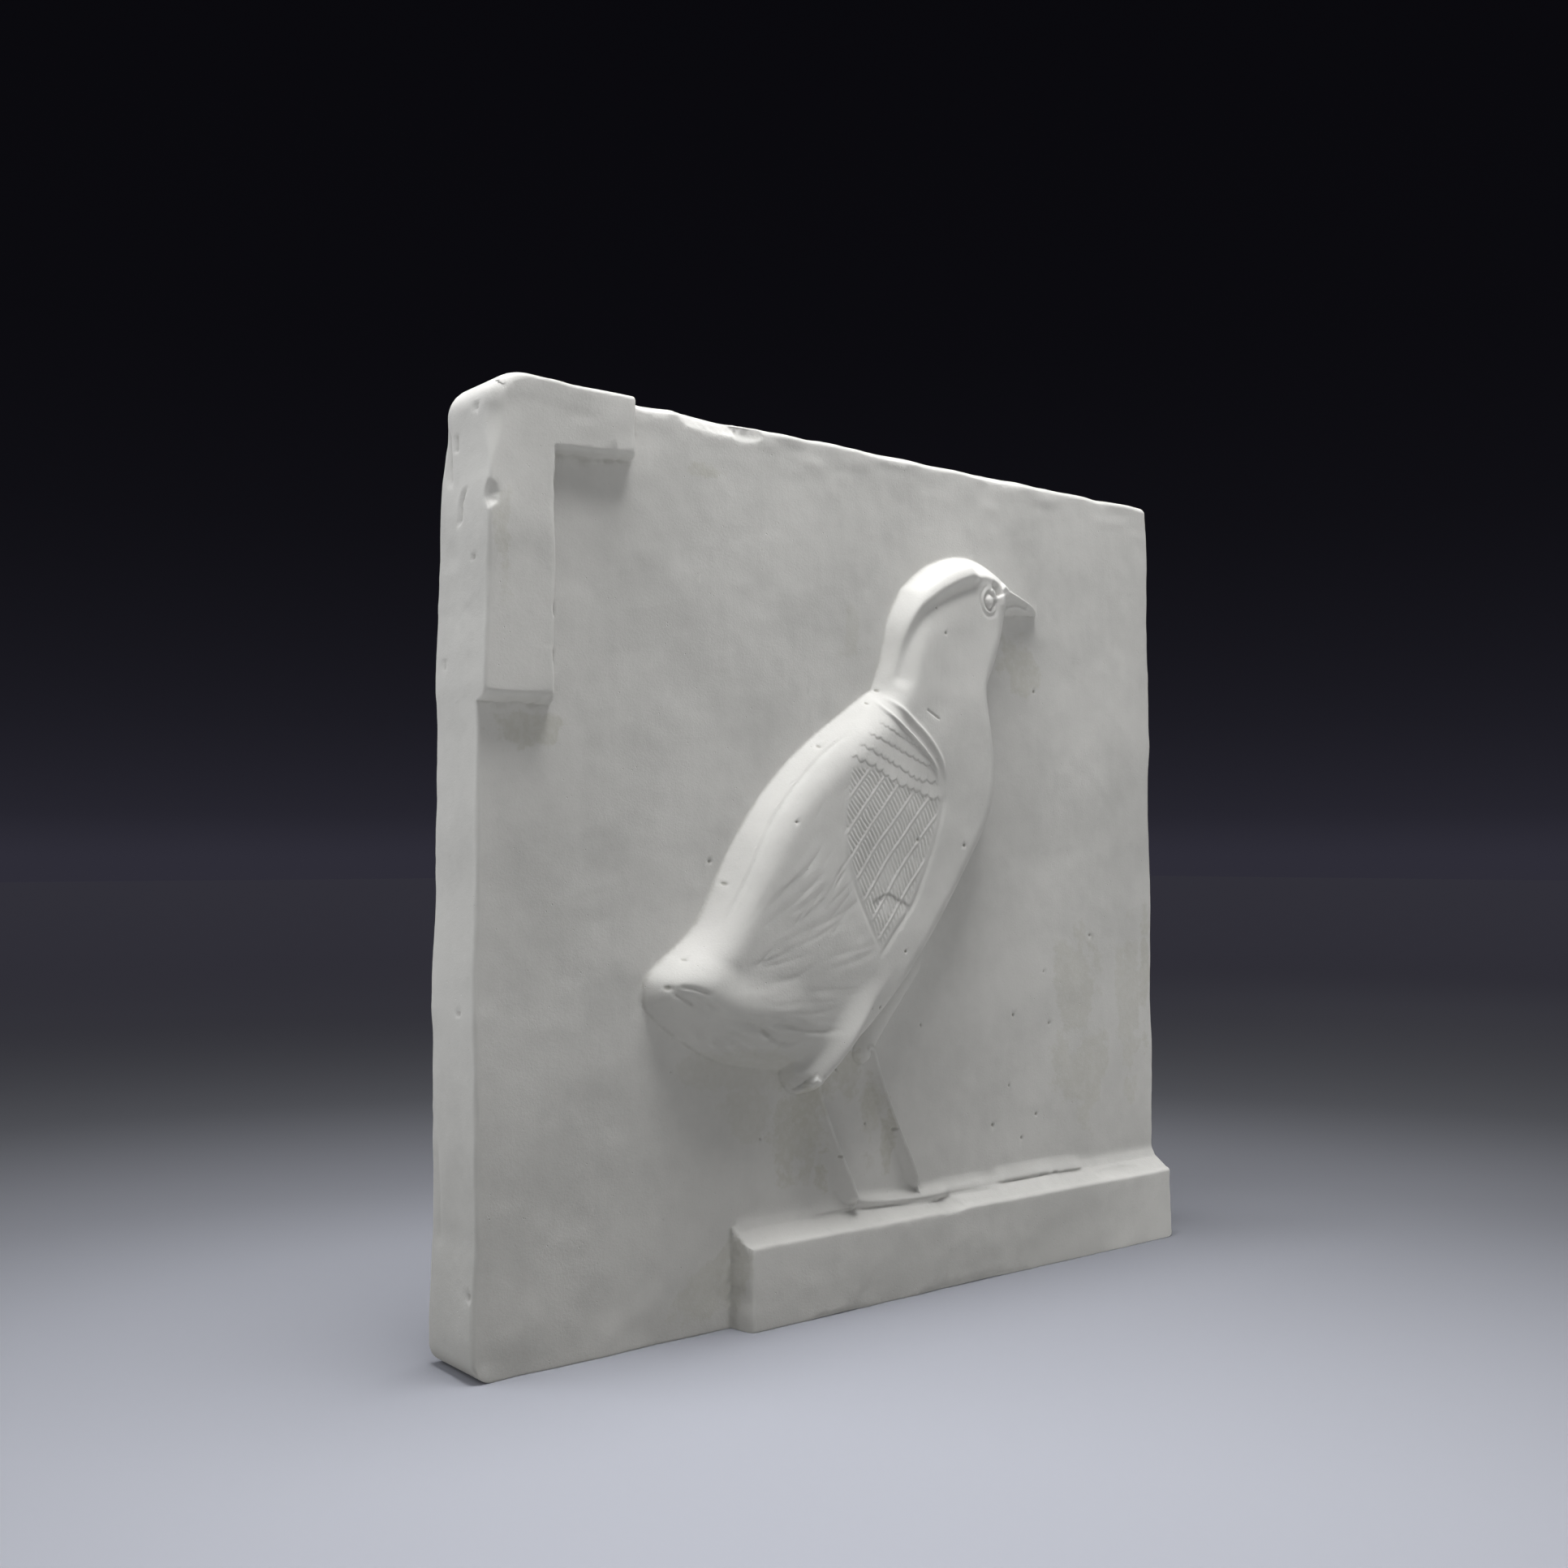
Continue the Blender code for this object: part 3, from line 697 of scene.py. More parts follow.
    def tiers(self, frame: BirdFrame, x: Numbers, z: Numbers) -> Numbers:
        """The break where the long feathers end over the wing's tip.

        Args:
            frame: Where the bird stands.
            x: How far along the slab each spot is.
            z: How far up the slab each spot is.

        Returns:
            The added height in metres.
        """
        total = np.zeros(x.shape)
        near = Beside.line(x, z, spline(frame.placed(self.tier)), 0.009)
        share = near.held[:, -1]
        fade = ease(share / 0.12) * ease((1.0 - share) / 0.05)
        below = -near.across
        shape = ease(below / 0.0004) * np.exp(-np.maximum(below, 0.0) / 0.0026)
        total[near.spots] = -0.00028 * shape * fade * ease(2.0 - below / 0.004)
        return total

    def edges(self, frame: BirdFrame, x: Numbers, z: Numbers) -> Numbers:
        """The cords of the shoulder and the wing's two edges.

        Args:
            frame: Where the bird stands.
            x: How far along the slab each spot is.
            z: How far up the slab each spot is.

        Returns:
            The added height in metres.
        """
        valley = tuple(((a[0] + b[0]) / 2.0, (a[1] + b[1]) / 2.0)
                       for a, b in zip(self.inner[1:], self.outer[1:]))
        low_rear = self.rear[3:]
        lines = [Stroke(self.inner, 0.8 * self.cord, self.cord_relief, fade=0.2),
                 Stroke(self.outer, self.cord, 0.9 * self.cord_relief, fade=0.2),
                 Stroke(valley, 0.8 * self.cord, -0.15 * self.cord_relief, fade=0.2),
                 Stroke(self.rear, 0.0007, -0.00010, fade=0.3),
                 Stroke(low_rear, 0.0005, -0.00015, fade=0.25),
                 Stroke(self.front, 0.0006, -0.00014, fade=0.08),
                 Stroke(self.front[3:], 0.0005, -0.00010, fade=0.3)]
        return sum(stroke.height(frame, x, z) for stroke in lines)

    def height(self, frame: BirdFrame, x: Numbers, z: Numbers) -> Numbers:
        """Everything that the wing adds to the body.

        Args:
            frame: Where the bird stands.
            x: How far along the slab each spot is.
            z: How far up the slab each spot is.

        Returns:
            The added height in metres.
        """
        scales = sum(row.height(frame, x, z) for row in self.rows())
        return scales + self.barbs(frame, x, z) + self.tiers(frame, x, z) + self.edges(frame, x, z)


@dataclass(frozen=True)
class Tail:
    """The tail, with the fold that runs under the flank."""

    fold: Stations = ((-0.368, 0.339), (-0.345, 0.335), (-0.306, 0.318), (-0.285, 0.303), (-0.243, 0.292),
                      (-0.193, 0.286), (-0.114, 0.280))
    fall: float = 0.0010

    def height(self, frame: BirdFrame, x: Numbers, z: Numbers) -> Numbers:
        """What the tail's lines add to the body.

        Args:
            frame: Where the bird stands.
            x: How far along the slab each spot is.
            z: How far up the slab each spot is.

        Returns:
            The added height in metres.
        """
        first = ((-0.352, 0.342), (-0.334, 0.339), (-0.318, 0.334), (-0.303, 0.328))
        second = ((-0.356, 0.334), (-0.343, 0.326), (-0.330, 0.318), (-0.322, 0.311))
        middle = ((-0.350, 0.338), (-0.335, 0.332), (-0.320, 0.324))
        under = ((-0.300, 0.278), (-0.250, 0.260), (-0.190, 0.250), (-0.130, 0.246))
        low = ((-0.260, 0.252), (-0.200, 0.238), (-0.140, 0.230))
        lines = [Stroke(self.fold, 0.0009, self.fall, Mark.STEP, fade=0.25, reach=8.0),
                 Stroke(self.fold[:4], 0.0006, -0.4 * self.fall, fade=0.25),
                 Stroke(first, 0.00040, -0.00050, fade=0.25),
                 Stroke(second, 0.00040, -0.00060, fade=0.25),
                 Stroke(middle, 0.00050, 0.00016, fade=0.25),
                 Stroke(under, 0.0008, -0.00014, fade=0.3),
                 Stroke(low, 0.0008, -0.00012, fade=0.3)]
        return sum(stroke.height(frame, x, z) for stroke in lines)


@dataclass(frozen=True)
class Legs:
    """The two legs and their long toes on the ledge."""

    near_thigh: Limb = Limb(((0.040, 0.384, 0.046, 0.82), (-0.018, 0.324, 0.056, 1.06),
                             (-0.060, 0.272, 0.053, 1.16), (-0.085, 0.236, 0.044, 1.10),
                             (-0.106, 0.205, 0.034, 0.94)), lean=0.36, fullness=1.6)
    near_shank: Limb = Limb(((-0.100, 0.200, 0.024, 0.62), (-0.092, 0.172, 0.022, 0.51),
                             (-0.070, 0.118, 0.020, 0.48), (-0.046, 0.068, 0.019, 0.48),
                             (-0.022, 0.018, 0.020, 0.49), (-0.014, 0.000, 0.016, 0.22)),
                            lean=0.45, hollow=1.5)
    far_thigh: Limb = Limb(((0.122, 0.352, 0.022, 0.20), (0.084, 0.312, 0.024, 0.27),
                            (0.038, 0.258, 0.024, 0.31), (0.018, 0.222, 0.018, 0.34)))
    far_shank: Limb = Limb(((0.022, 0.222, 0.017, 0.40), (0.043, 0.172, 0.014, 0.37),
                            (0.071, 0.110, 0.013, 0.37), (0.097, 0.062, 0.013, 0.37),
                            (0.115, 0.024, 0.014, 0.36), (0.124, 0.006, 0.011, 0.19)),
                           lean=0.45, hollow=1.5)
    near_crest: Stations = ((-0.090, 0.190), (-0.083, 0.173), (-0.061, 0.119), (-0.037, 0.069),
                            (-0.014, 0.020))
    far_crest: Stations = ((0.038, 0.202), (0.049, 0.174), (0.077, 0.112), (0.102, 0.064), (0.120, 0.026))
    near_toe: Stations = ((-0.100, -0.009), (-0.025, -0.006), (0.050, -0.010), (0.118, -0.014),
                          (0.159, -0.014), (0.195, -0.011), (0.280, -0.013), (0.298, -0.020))
    near_toe_crest: Stations = ((-0.015, 0.026), (-0.008, 0.013), (0.020, 0.003), (0.088, -0.003),
                                (0.153, -0.004), (0.200, -0.002))
    far_toe: Stations = ((0.290, -0.007), (0.358, -0.007), (0.430, -0.007), (0.515, -0.010))
    toe_width: float = 0.0006
    toe_relief: float = 0.0009

    def creases(self) -> list[Stroke]:
        """The folds of the thigh and the hock.

        Returns:
            The strokes.
        """
        long_fold = ((-0.088, 0.196), (-0.052, 0.220), (-0.026, 0.250), (-0.009, 0.288), (0.010, 0.325))
        side_fold = ((-0.074, 0.191), (-0.036, 0.219), (-0.012, 0.252), (0.002, 0.284))
        hock = [((-0.112 + 0.012 * step, 0.208 - 0.005 * step), (-0.094 + 0.012 * step, 0.188 - 0.004 * step))
                for step in range(3)]
        under = ((-0.140, 0.199), (-0.118, 0.194), (-0.100, 0.184))
        lines = [Stroke(long_fold, 0.0008, -0.00034, fade=0.3),
                 Stroke(side_fold, 0.0007, -0.00030, fade=0.3),
                 Stroke(under, 0.0006, -0.00040, fade=0.2)]
        return lines + [Stroke(points, 0.00035, -0.00030, Mark.CREASE, fade=0.25) for points in hock]

    def lower(self, frame: BirdFrame, x: Numbers, z: Numbers) -> Numbers:
        """Height of the shanks and the far thigh.

        Args:
            frame: Where the bird stands.
            x: How far along the slab each spot is.
            z: How far up the slab each spot is.

        Returns:
            The height in metres.
        """
        total = self.near_shank.height(frame, x, z)
        for limb in (self.far_shank, self.far_thigh):
            total = blend_up(total, limb.height(frame, x, z), 0.04 * frame.relief)
        return total

    def toes(self, frame: BirdFrame, x: Numbers, z: Numbers) -> Numbers:
        """What the toes add to the ledge that they lie on.

        Args:
            frame: Where the bird stands.
            x: How far along the slab each spot is.
            z: How far up the slab each spot is.

        Returns:
            The added height in metres.
        """
        deep = self.toe_relief
        gaps = [((0.302, -0.008), (0.358, -0.008), (0.408, -0.008), (0.424, -0.007)),
                ((0.400, -0.008), (0.412, -0.007), (0.424, -0.007)), ((0.432, -0.007), (0.446, -0.007)),
                ((0.455, -0.009), (0.490, -0.010), (0.510, -0.011))]
        lines = [Stroke(self.near_toe_crest, 1.5 * self.toe_width, deep),
                 Stroke(self.near_toe, 0.9 * self.toe_width, 0.75 * deep, Mark.STEP, reach=5.0),
                 Stroke(self.far_toe, 0.9 * self.toe_width, 0.75 * deep, Mark.STEP, reach=5.0),
                 Stroke(self.near_crest, 0.5 * self.toe_width, 0.5 * deep, fade=0.15),
                 Stroke(self.far_crest, 0.45 * self.toe_width, 0.45 * deep, fade=0.15),
                 Stroke(self.near_toe, 0.9 * self.toe_width, -0.12 * deep),
                 Stroke(self.near_toe[4:], 1.2 * self.toe_width, -0.22 * deep, fade=0.15)]
        lines += [Stroke(gap, 0.8 * self.toe_width, -0.35 * deep, fade=0.2) for gap in gaps]
        return sum(stroke.height(frame, x, z) for stroke in lines)


@dataclass(frozen=True)
class Bird:
    """The young bird in relief."""

    frame: BirdFrame = BirdFrame()
    body: Body = Body()
    head: Head = Head()
    wing: Wing = Wing()
    tail: Tail = Tail()
    legs: Legs = Legs()
    thigh_blend: float = 0.22
    beak_blend: float = 0.12
    shank_blend: float = 0.05
    detail_from: float = 0.2

    def scratches(self) -> list[Stroke]:
        """Stray tool marks on the neck, the flank and the back.

        Returns:
            The strokes.
        """
        neck = ((0.113, 0.744), (0.141, 0.729))
        lines = [Stroke(neck, 0.00030, -0.00035, Mark.CREASE)]
        random = np.random.default_rng(5)
        for count in range(9):
            start = 0.112 + 0.0045 * count + random.uniform(-0.002, 0.002)
            top = random.uniform(0.815, 0.862)
            end = top - random.uniform(0.05, 0.10)
            points = ((start, top), (start - 0.002, top - 0.035), (start - 0.003, end))
            lines.append(Stroke(points, 0.00028, -random.uniform(0.00003, 0.00009), fade=0.3))
        for count in range(26):
            start = (random.uniform(-0.24, -0.06), random.uniform(0.36, 0.62))
            angle = math.radians(random.uniform(35.0, 60.0))
            length = random.uniform(0.03, 0.08)
            end = (start[0] + length * math.cos(angle), start[1] + length * math.sin(angle))
            lines.append(Stroke((start, end), 0.0003, -random.uniform(0.00003, 0.00010), fade=0.35))
        return lines

    def height(self, x: Numbers, z: Numbers) -> Numbers:
        """Height of the bird over the slab.

        Args:
            x: How far along the slab each spot is.
            z: How far up the slab each spot is.

        Returns:
            The height in metres.
        """
        frame = self.frame
        depth, width = depth_inside(x, z, self.body.outline(frame), self.body.edge)
        plain = self.body.height(frame, z, depth, width)
        cover = ease(depth / self.body.cover)
        lines = sum(stroke.height(frame, x, z) for stroke in self.body.strokes() + self.scratches())
        detail = self.head.nape(frame, x, z) + self.wing.height(frame, x, z) + self.tail.height(frame, x, z)
        total = plain + cover * (detail + lines)
        thigh = self.legs.near_thigh.height(frame, x, z)
        total = blend_up(total, thigh, self.thigh_blend * frame.relief)
        total = blend_up(total, self.head.beak.height(frame, x, z), self.beak_blend * frame.relief)
        carved = self.detail_from * frame.relief
        total = total + self.head.height(frame, x, z) * ease(total / carved)
        total = blend_up(total, self.legs.lower(frame, x, z), self.shank_blend * frame.relief)
        creases = sum(stroke.height(frame, x, z) for stroke in self.legs.creases())
        return total + creases * ease(total / carved)


@dataclass(frozen=True)
class CornerBand:
    """The band down the upper left corner, flush with the slab's left side and top."""

    slab_height: float = 0.180
    relief: float = 0.0040
    leg_width: float = 0.0138
    leg_length: float = 0.0574
    arm_height: float = 0.0114
    arm_length: float = 0.0312
    arm_rise: float = 0.0021
    wall: float = 0.0007
    end_wall: float = 0.0011

    def height(self, x: Numbers, z: Numbers) -> Numbers:
        """Height of the band over the slab.

        Args:
            x: How far along the slab each spot is.
            z: How far up the slab each spot is.

        Returns:
            The height in metres.
        """
        ragged = 0.00016 * clouds(x, z, 0.0035, 31) + 0.00007 * clouds(x, z, 0.0012, 32)
        edge = self.leg_width + 0.0002 * wave(z, 0.0 * z, 0.02, 3) + ragged
        leg_end = self.slab_height - self.leg_length + 1.5 * ragged
        arm_under = self.slab_height - self.arm_height - self.arm_rise * (1.0 - x / self.arm_length) + ragged
        leg = np.minimum((edge - x) / self.wall, (z - leg_end) / self.end_wall + 1.0)
        arm = np.minimum((z - arm_under) / self.wall, (self.arm_length + ragged - x) / self.wall)
        into = blend_up(leg, arm, 1.2)
        return self.relief * rounded((into + 1.0) / 2.0)


@dataclass(frozen=True)
class Ledge:
    """The ledge along the lower right edge, with a top that falls to the front."""

    relief: float = 0.0061
    from_left: float = 0.0567
    top: float = 0.0203
    top_fall: float = 0.0037
    end_wall: float = 0.0014
    arris: float = 0.0009
    fillet: float = 0.0016

    def height(self, x: Numbers, z: Numbers) -> Numbers:
        """Height of the ledge over the slab.

        Args:
            x: How far along the slab each spot is.
            z: How far up the slab each spot is.

        Returns:
            The height in metres.
        """
        uneven = 0.00025 * wave(x, 0.0 * x, 0.06, 5) + 0.00012 * clouds(x, z, 0.004, 33)
        top = (self.top + uneven - z) / self.top_fall
        end = (x - self.from_left - 0.00015 * clouds(x, z, 0.003, 34)) / self.end_wall
        front = rounded((self.top - self.top_fall - z + 0.7 * uneven) / self.arris)
        ramp = np.clip(top, 0.0, 1.0) * 0.82 + 0.18 * front
        ramp = np.where(top > 0.0, ramp, 0.0)
        foot = 0.16 * np.exp(-np.maximum(-top * self.top_fall, 0.0) / self.fillet) * (top <= 0.35)
        foot = foot * ease((x - self.from_left) / self.fillet)
        foot = foot * ease(1.0 + top * self.top_fall / (4 * self.fillet))
        ramp = np.maximum(ramp, foot * np.clip(1.0 - top / 0.35, 0.0, 1.0) + np.maximum(ramp, 0.0))
        return self.relief * np.minimum(ramp, rounded(end))


@dataclass(frozen=True)
class Wear:
    """Bubbles, chips and scrapes on the front. Places are metres from the slab's lower left corner."""

    chips: Stations = ((0.0512, 0.1800, 0.0085, 0.0034, 0.0014), (0.0595, 0.1785, 0.0050, 0.0020, 0.0007),
                       (-0.0010, 0.1573, 0.0027, 0.0032, 0.0017), (0.0144, 0.1380, 0.0012, 0.0022, 0.0012),
                       (0.0144, 0.1292, 0.0012, 0.0020, 0.0010), (0.1128, 0.0172, 0.0050, 0.0016, 0.0012),
                       (0.1010, 0.1798, 0.0110, 0.0012, 0.0004), (0.1350, 0.1798, 0.0150, 0.0012, 0.0005),
                       (0.0380, 0.1800, 0.0070, 0.0014, 0.0006), (0.1690, 0.0176, 0.0080, 0.0010, 0.0005),
                       (0.0800, 0.0000, 0.0110, 0.0010, 0.0003), (0.1190, 0.0000, 0.0200, 0.0014, 0.0004))
    bubbles: Stations = ((0.0945, 0.1280, 0.8), (0.0910, 0.1250, 0.7), (0.0772, 0.1152, 0.9),
                         (0.0677, 0.0994, 0.6), (0.1085, 0.1467, 0.5), (0.1105, 0.1413, 0.8),
                         (0.1450, 0.1311, 1.0),
                         (0.1143, 0.0950, 1.1), (0.1005, 0.0961, 0.9), (0.0961, 0.0727, 0.8),
                         (0.0897, 0.0613, 1.1), (0.0867, 0.0613, 0.6), (0.0838, 0.0482, 0.6),
                         (0.0990, 0.0345, 1.6), (0.0823, 0.0309, 0.8), (0.1305, 0.0320, 1.2),
                         (0.1447, 0.0331, 1.0), (0.1398, 0.0282, 1.0), (0.1372, 0.0563, 0.9),
                         (0.1475, 0.0658, 0.5), (0.1494, 0.0537, 0.9), (0.0920, 0.0362, 0.6),
                         (0.1357, 0.0404, 0.5), (0.0511, 0.0916, 1.0), (0.0533, 0.0872, 1.1),
                         (0.0425, 0.0728, 0.7), (0.0380, 0.0678, 1.6), (0.0639, 0.0360, 0.5),
                         (0.1639, 0.0737, 0.9), (0.1080, 0.0560, 0.5), (0.0420, 0.0512, 0.5))
    bubble: float = 0.00040
    bubble_depth: float = 0.00038
    swell: float = 0.00011
    fine_swell: float = 0.00005
    drag: float = 0.000012
    upright_drag: float = 0.000009
    top_roughness: float = 0.00016
    foot_swell: float = 0.00028
    fine_foot_swell: float = 0.00010

    def chipped(self, x: Numbers, z: Numbers) -> Numbers:
        """Depth of the knocked and scooped places.

        Args:
            x: How far along the slab each spot is.
            z: How far up the slab each spot is.

        Returns:
            The depth in metres.
        """
        total = np.zeros(x.shape)
        ragged = 0.13 * clouds(x, z, 0.0022, 51) + 0.05 * clouds(x, z, 0.0009, 52)
        for place_x, place_z, half_x, half_z, deep in self.chips:
            away = np.hypot((x - place_x) / half_x, (z - place_z) / half_z) + ragged
            total += deep * np.clip(1.0 - away ** 2, 0.0, 1.0) ** 1.2
        return total

    def pitted(self, x: Numbers, z: Numbers) -> Numbers:
        """How far each spot lies in a burst bubble.

        Args:
            x: How far along the slab each spot is.
            z: How far up the slab each spot is.

        Returns:
            From 0 outside to 1 at the middle of a bubble.
        """
        total = np.zeros(x.shape)
        for place_x, place_z, size in self.bubbles:
            away = np.hypot(x - place_x, z - place_z) / (self.bubble * math.sqrt(size))
            total = np.maximum(total, np.clip(1.35 - away, 0.0, 1.0))
        return total

    def scraped(self, x: Numbers, z: Numbers) -> Numbers:
        """Faint unevenness of the hand finished ground.

        Args:
            x: How far along the slab each spot is.
            z: How far up the slab each spot is.

        Returns:
            The added height in metres.
        """
        soft = self.swell * clouds(x, z, 0.009, 61) + self.fine_swell * clouds(x, z, 0.0032, 62)
        level, steep = 0.97 * x + 0.24 * z, 0.97 * z - 0.24 * x
        drawn = self.drag * clouds(level / 7.0, steep, 0.0011, 63)
        drawn = drawn + self.upright_drag * clouds(x, z / 9.0, 0.0010, 64)
        top_edge = ease((z - 0.1690) / 0.009) * self.top_roughness * clouds(x / 2.5, z, 0.0026, 65)
        low = self.foot_swell * clouds(x, z, 0.0095, 66) + self.fine_foot_swell * clouds(x, z, 0.0040, 67)
        return soft + drawn + top_edge + ease(1.0 - z / 0.019) * low


@dataclass(frozen=True)
class Slab:
    """The cast slab behind the relief."""

    height: float = 0.180
    width: float = 0.187
    foot_thickness: float = 0.0165
    top_thickness: float = 0.0149
    arris: float = 0.0008
    foot_arris: float = 0.0003
    worn_arris: float = 0.0034
    top_left: float = 0.0062
    bottom_left: float = 0.0042
    right: float = 0.0016
    edge_wave: float = 0.00045
    face_wave: float = 0.00016
    wave_reach: float = 0.012

    def thickness(self, z: Numbers) -> Numbers:
        """Thickness of the slab, whose level back leans a little.

        Args:
            z: How far up the slab each spot is.

        Returns:
            The thickness in metres.
        """
        return self.foot_thickness + (self.top_thickness - self.foot_thickness) * z / self.height

    def arris_radius(self, x: Numbers, z: Numbers) -> Numbers:
        """Radius of the arrises: worn at the top of the left side, crisp at the foot.

        Args:
            x: How far along the slab each spot is.
            z: How far up the slab each spot is.

        Returns:
            The radius in metres.
        """
        worn = ease((z - 0.90 * self.height) / (0.06 * self.height)) * ease(1.0 - x / (0.05 * self.width))
        foot = ease(1.0 - z / (3.0 * self.arris))
        top = ease((z - 0.96 * self.height) / (0.03 * self.height)) * ease((x - 0.030) / 0.004)
        uneven = self.arris * (0.30 * clouds(x, z, 0.006, 71) + 0.75 * top) * (1.0 - foot)
        radius = self.arris + uneven + (self.worn_arris - self.arris) * worn
        return radius + (self.foot_arris - self.arris) * foot

    def outline(self, x: Numbers, z: Numbers) -> tuple[Numbers, Numbers]:
        """Moves a place in the plain rectangle to the slab's rounded and slightly wavy outline.

        Args:
            x: How far along the rectangle each spot is.
            z: How far up the rectangle each spot is.

        Returns:
            The moved places.
        """
        left = np.where(z > self.height / 2, self.top_left, self.bottom_left)
        radius = np.where(x < self.width / 2, left, self.right)
        away_x = x - np.clip(x, radius, self.width - radius)
        away_z = z - np.clip(z, radius, self.height - radius)
        straight = np.maximum(np.abs(away_x), np.abs(away_z))
        slant = np.maximum(np.hypot(away_x, away_z), 1e-9)
        pull = np.where((away_x != 0.0) & (away_z != 0.0), straight / slant, 1.0)
        placed_x = x + away_x * (pull - 1.0)
        placed_z = z + away_z * (pull - 1.0)
        reach = self.wave_reach
        near_left = ease(1.0 - x / reach)
        near_right = ease((x - self.width + reach) / reach)
        near_top = ease((z - self.height + reach) / reach)
        placed_x = placed_x + self.edge_wave * wave(z, 0.0 * z, 0.05, 2) * near_left
        placed_x = placed_x + self.edge_wave * wave(z, 0.0 * z, 0.06, 7) * near_right
        placed_x = placed_x + 0.00010 * clouds(z, 0.0 * z, 0.004, 72) * (near_left + near_right)
        placed_z = placed_z + 0.5 * self.edge_wave * wave(x, 0.0 * x, 0.03, 4) * near_top
        placed_z = placed_z + 0.00009 * clouds(x, 0.0 * x, 0.0035, 73) * near_top
        return placed_x, placed_z

    @staticmethod
    def turned(inset: Numbers, depth: Numbers, radius: Numbers) -> tuple[Numbers, Numbers]:
        """Rounds an arris.

        Args:
            inset: How far in from the side each spot is.
            depth: How deep below the face each spot is.
            radius: Radius of the arris there.

        Returns:
            The inset and the depth on the rounded arris.
        """
        off_side = np.maximum(radius - inset, 0.0)
        off_face = np.maximum(radius - depth, 0.0)
        away = np.maximum(np.hypot(off_side, off_face), 1e-9)
        in_corner = (off_side > 0.0) & (off_face > 0.0)
        pull = np.where(in_corner, radius / away, 1.0)
        return (np.where(in_corner, radius - off_side * pull, inset),
                np.where(in_corner, radius - off_face * pull, depth))


@dataclass(frozen=True)
class Gouge:
    """A scrape in the left side: its share of the depth, its ends up the slab, its half width and depth."""

    share: float
    low: float
    high: float
    half_width: float
    deep: float
    slant: float = 0.0
    slab_depth: float = 0.0158

    def depth(self, z: Numbers, share: Numbers) -> Numbers:
        """How deep the side is cut.

        Args:
            z: How far up the slab each spot is.
            share: Share of the slab's thickness from the front.

        Returns:
            The depth in metres.
        """
        up = (z - self.low) / (self.high - self.low)
        middle = self.share + self.slant * (up - 0.5)
        across = (share - middle) * self.slab_depth / self.half_width
        ends = ease(up / 0.2) * ease((1.0 - up) / 0.2)
        return self.deep * np.exp(-across ** 2) * ends


@dataclass(frozen=True)
class StainAndShadePatch:
    """A named darker patch on the front, in metres from the slab's lower left corner. Some are olive
    staining, some painted shade where the relief shades the ground, some both.
    """

    name: str
    place: tuple[float, float]
    half: tuple[float, float]
    strength: float


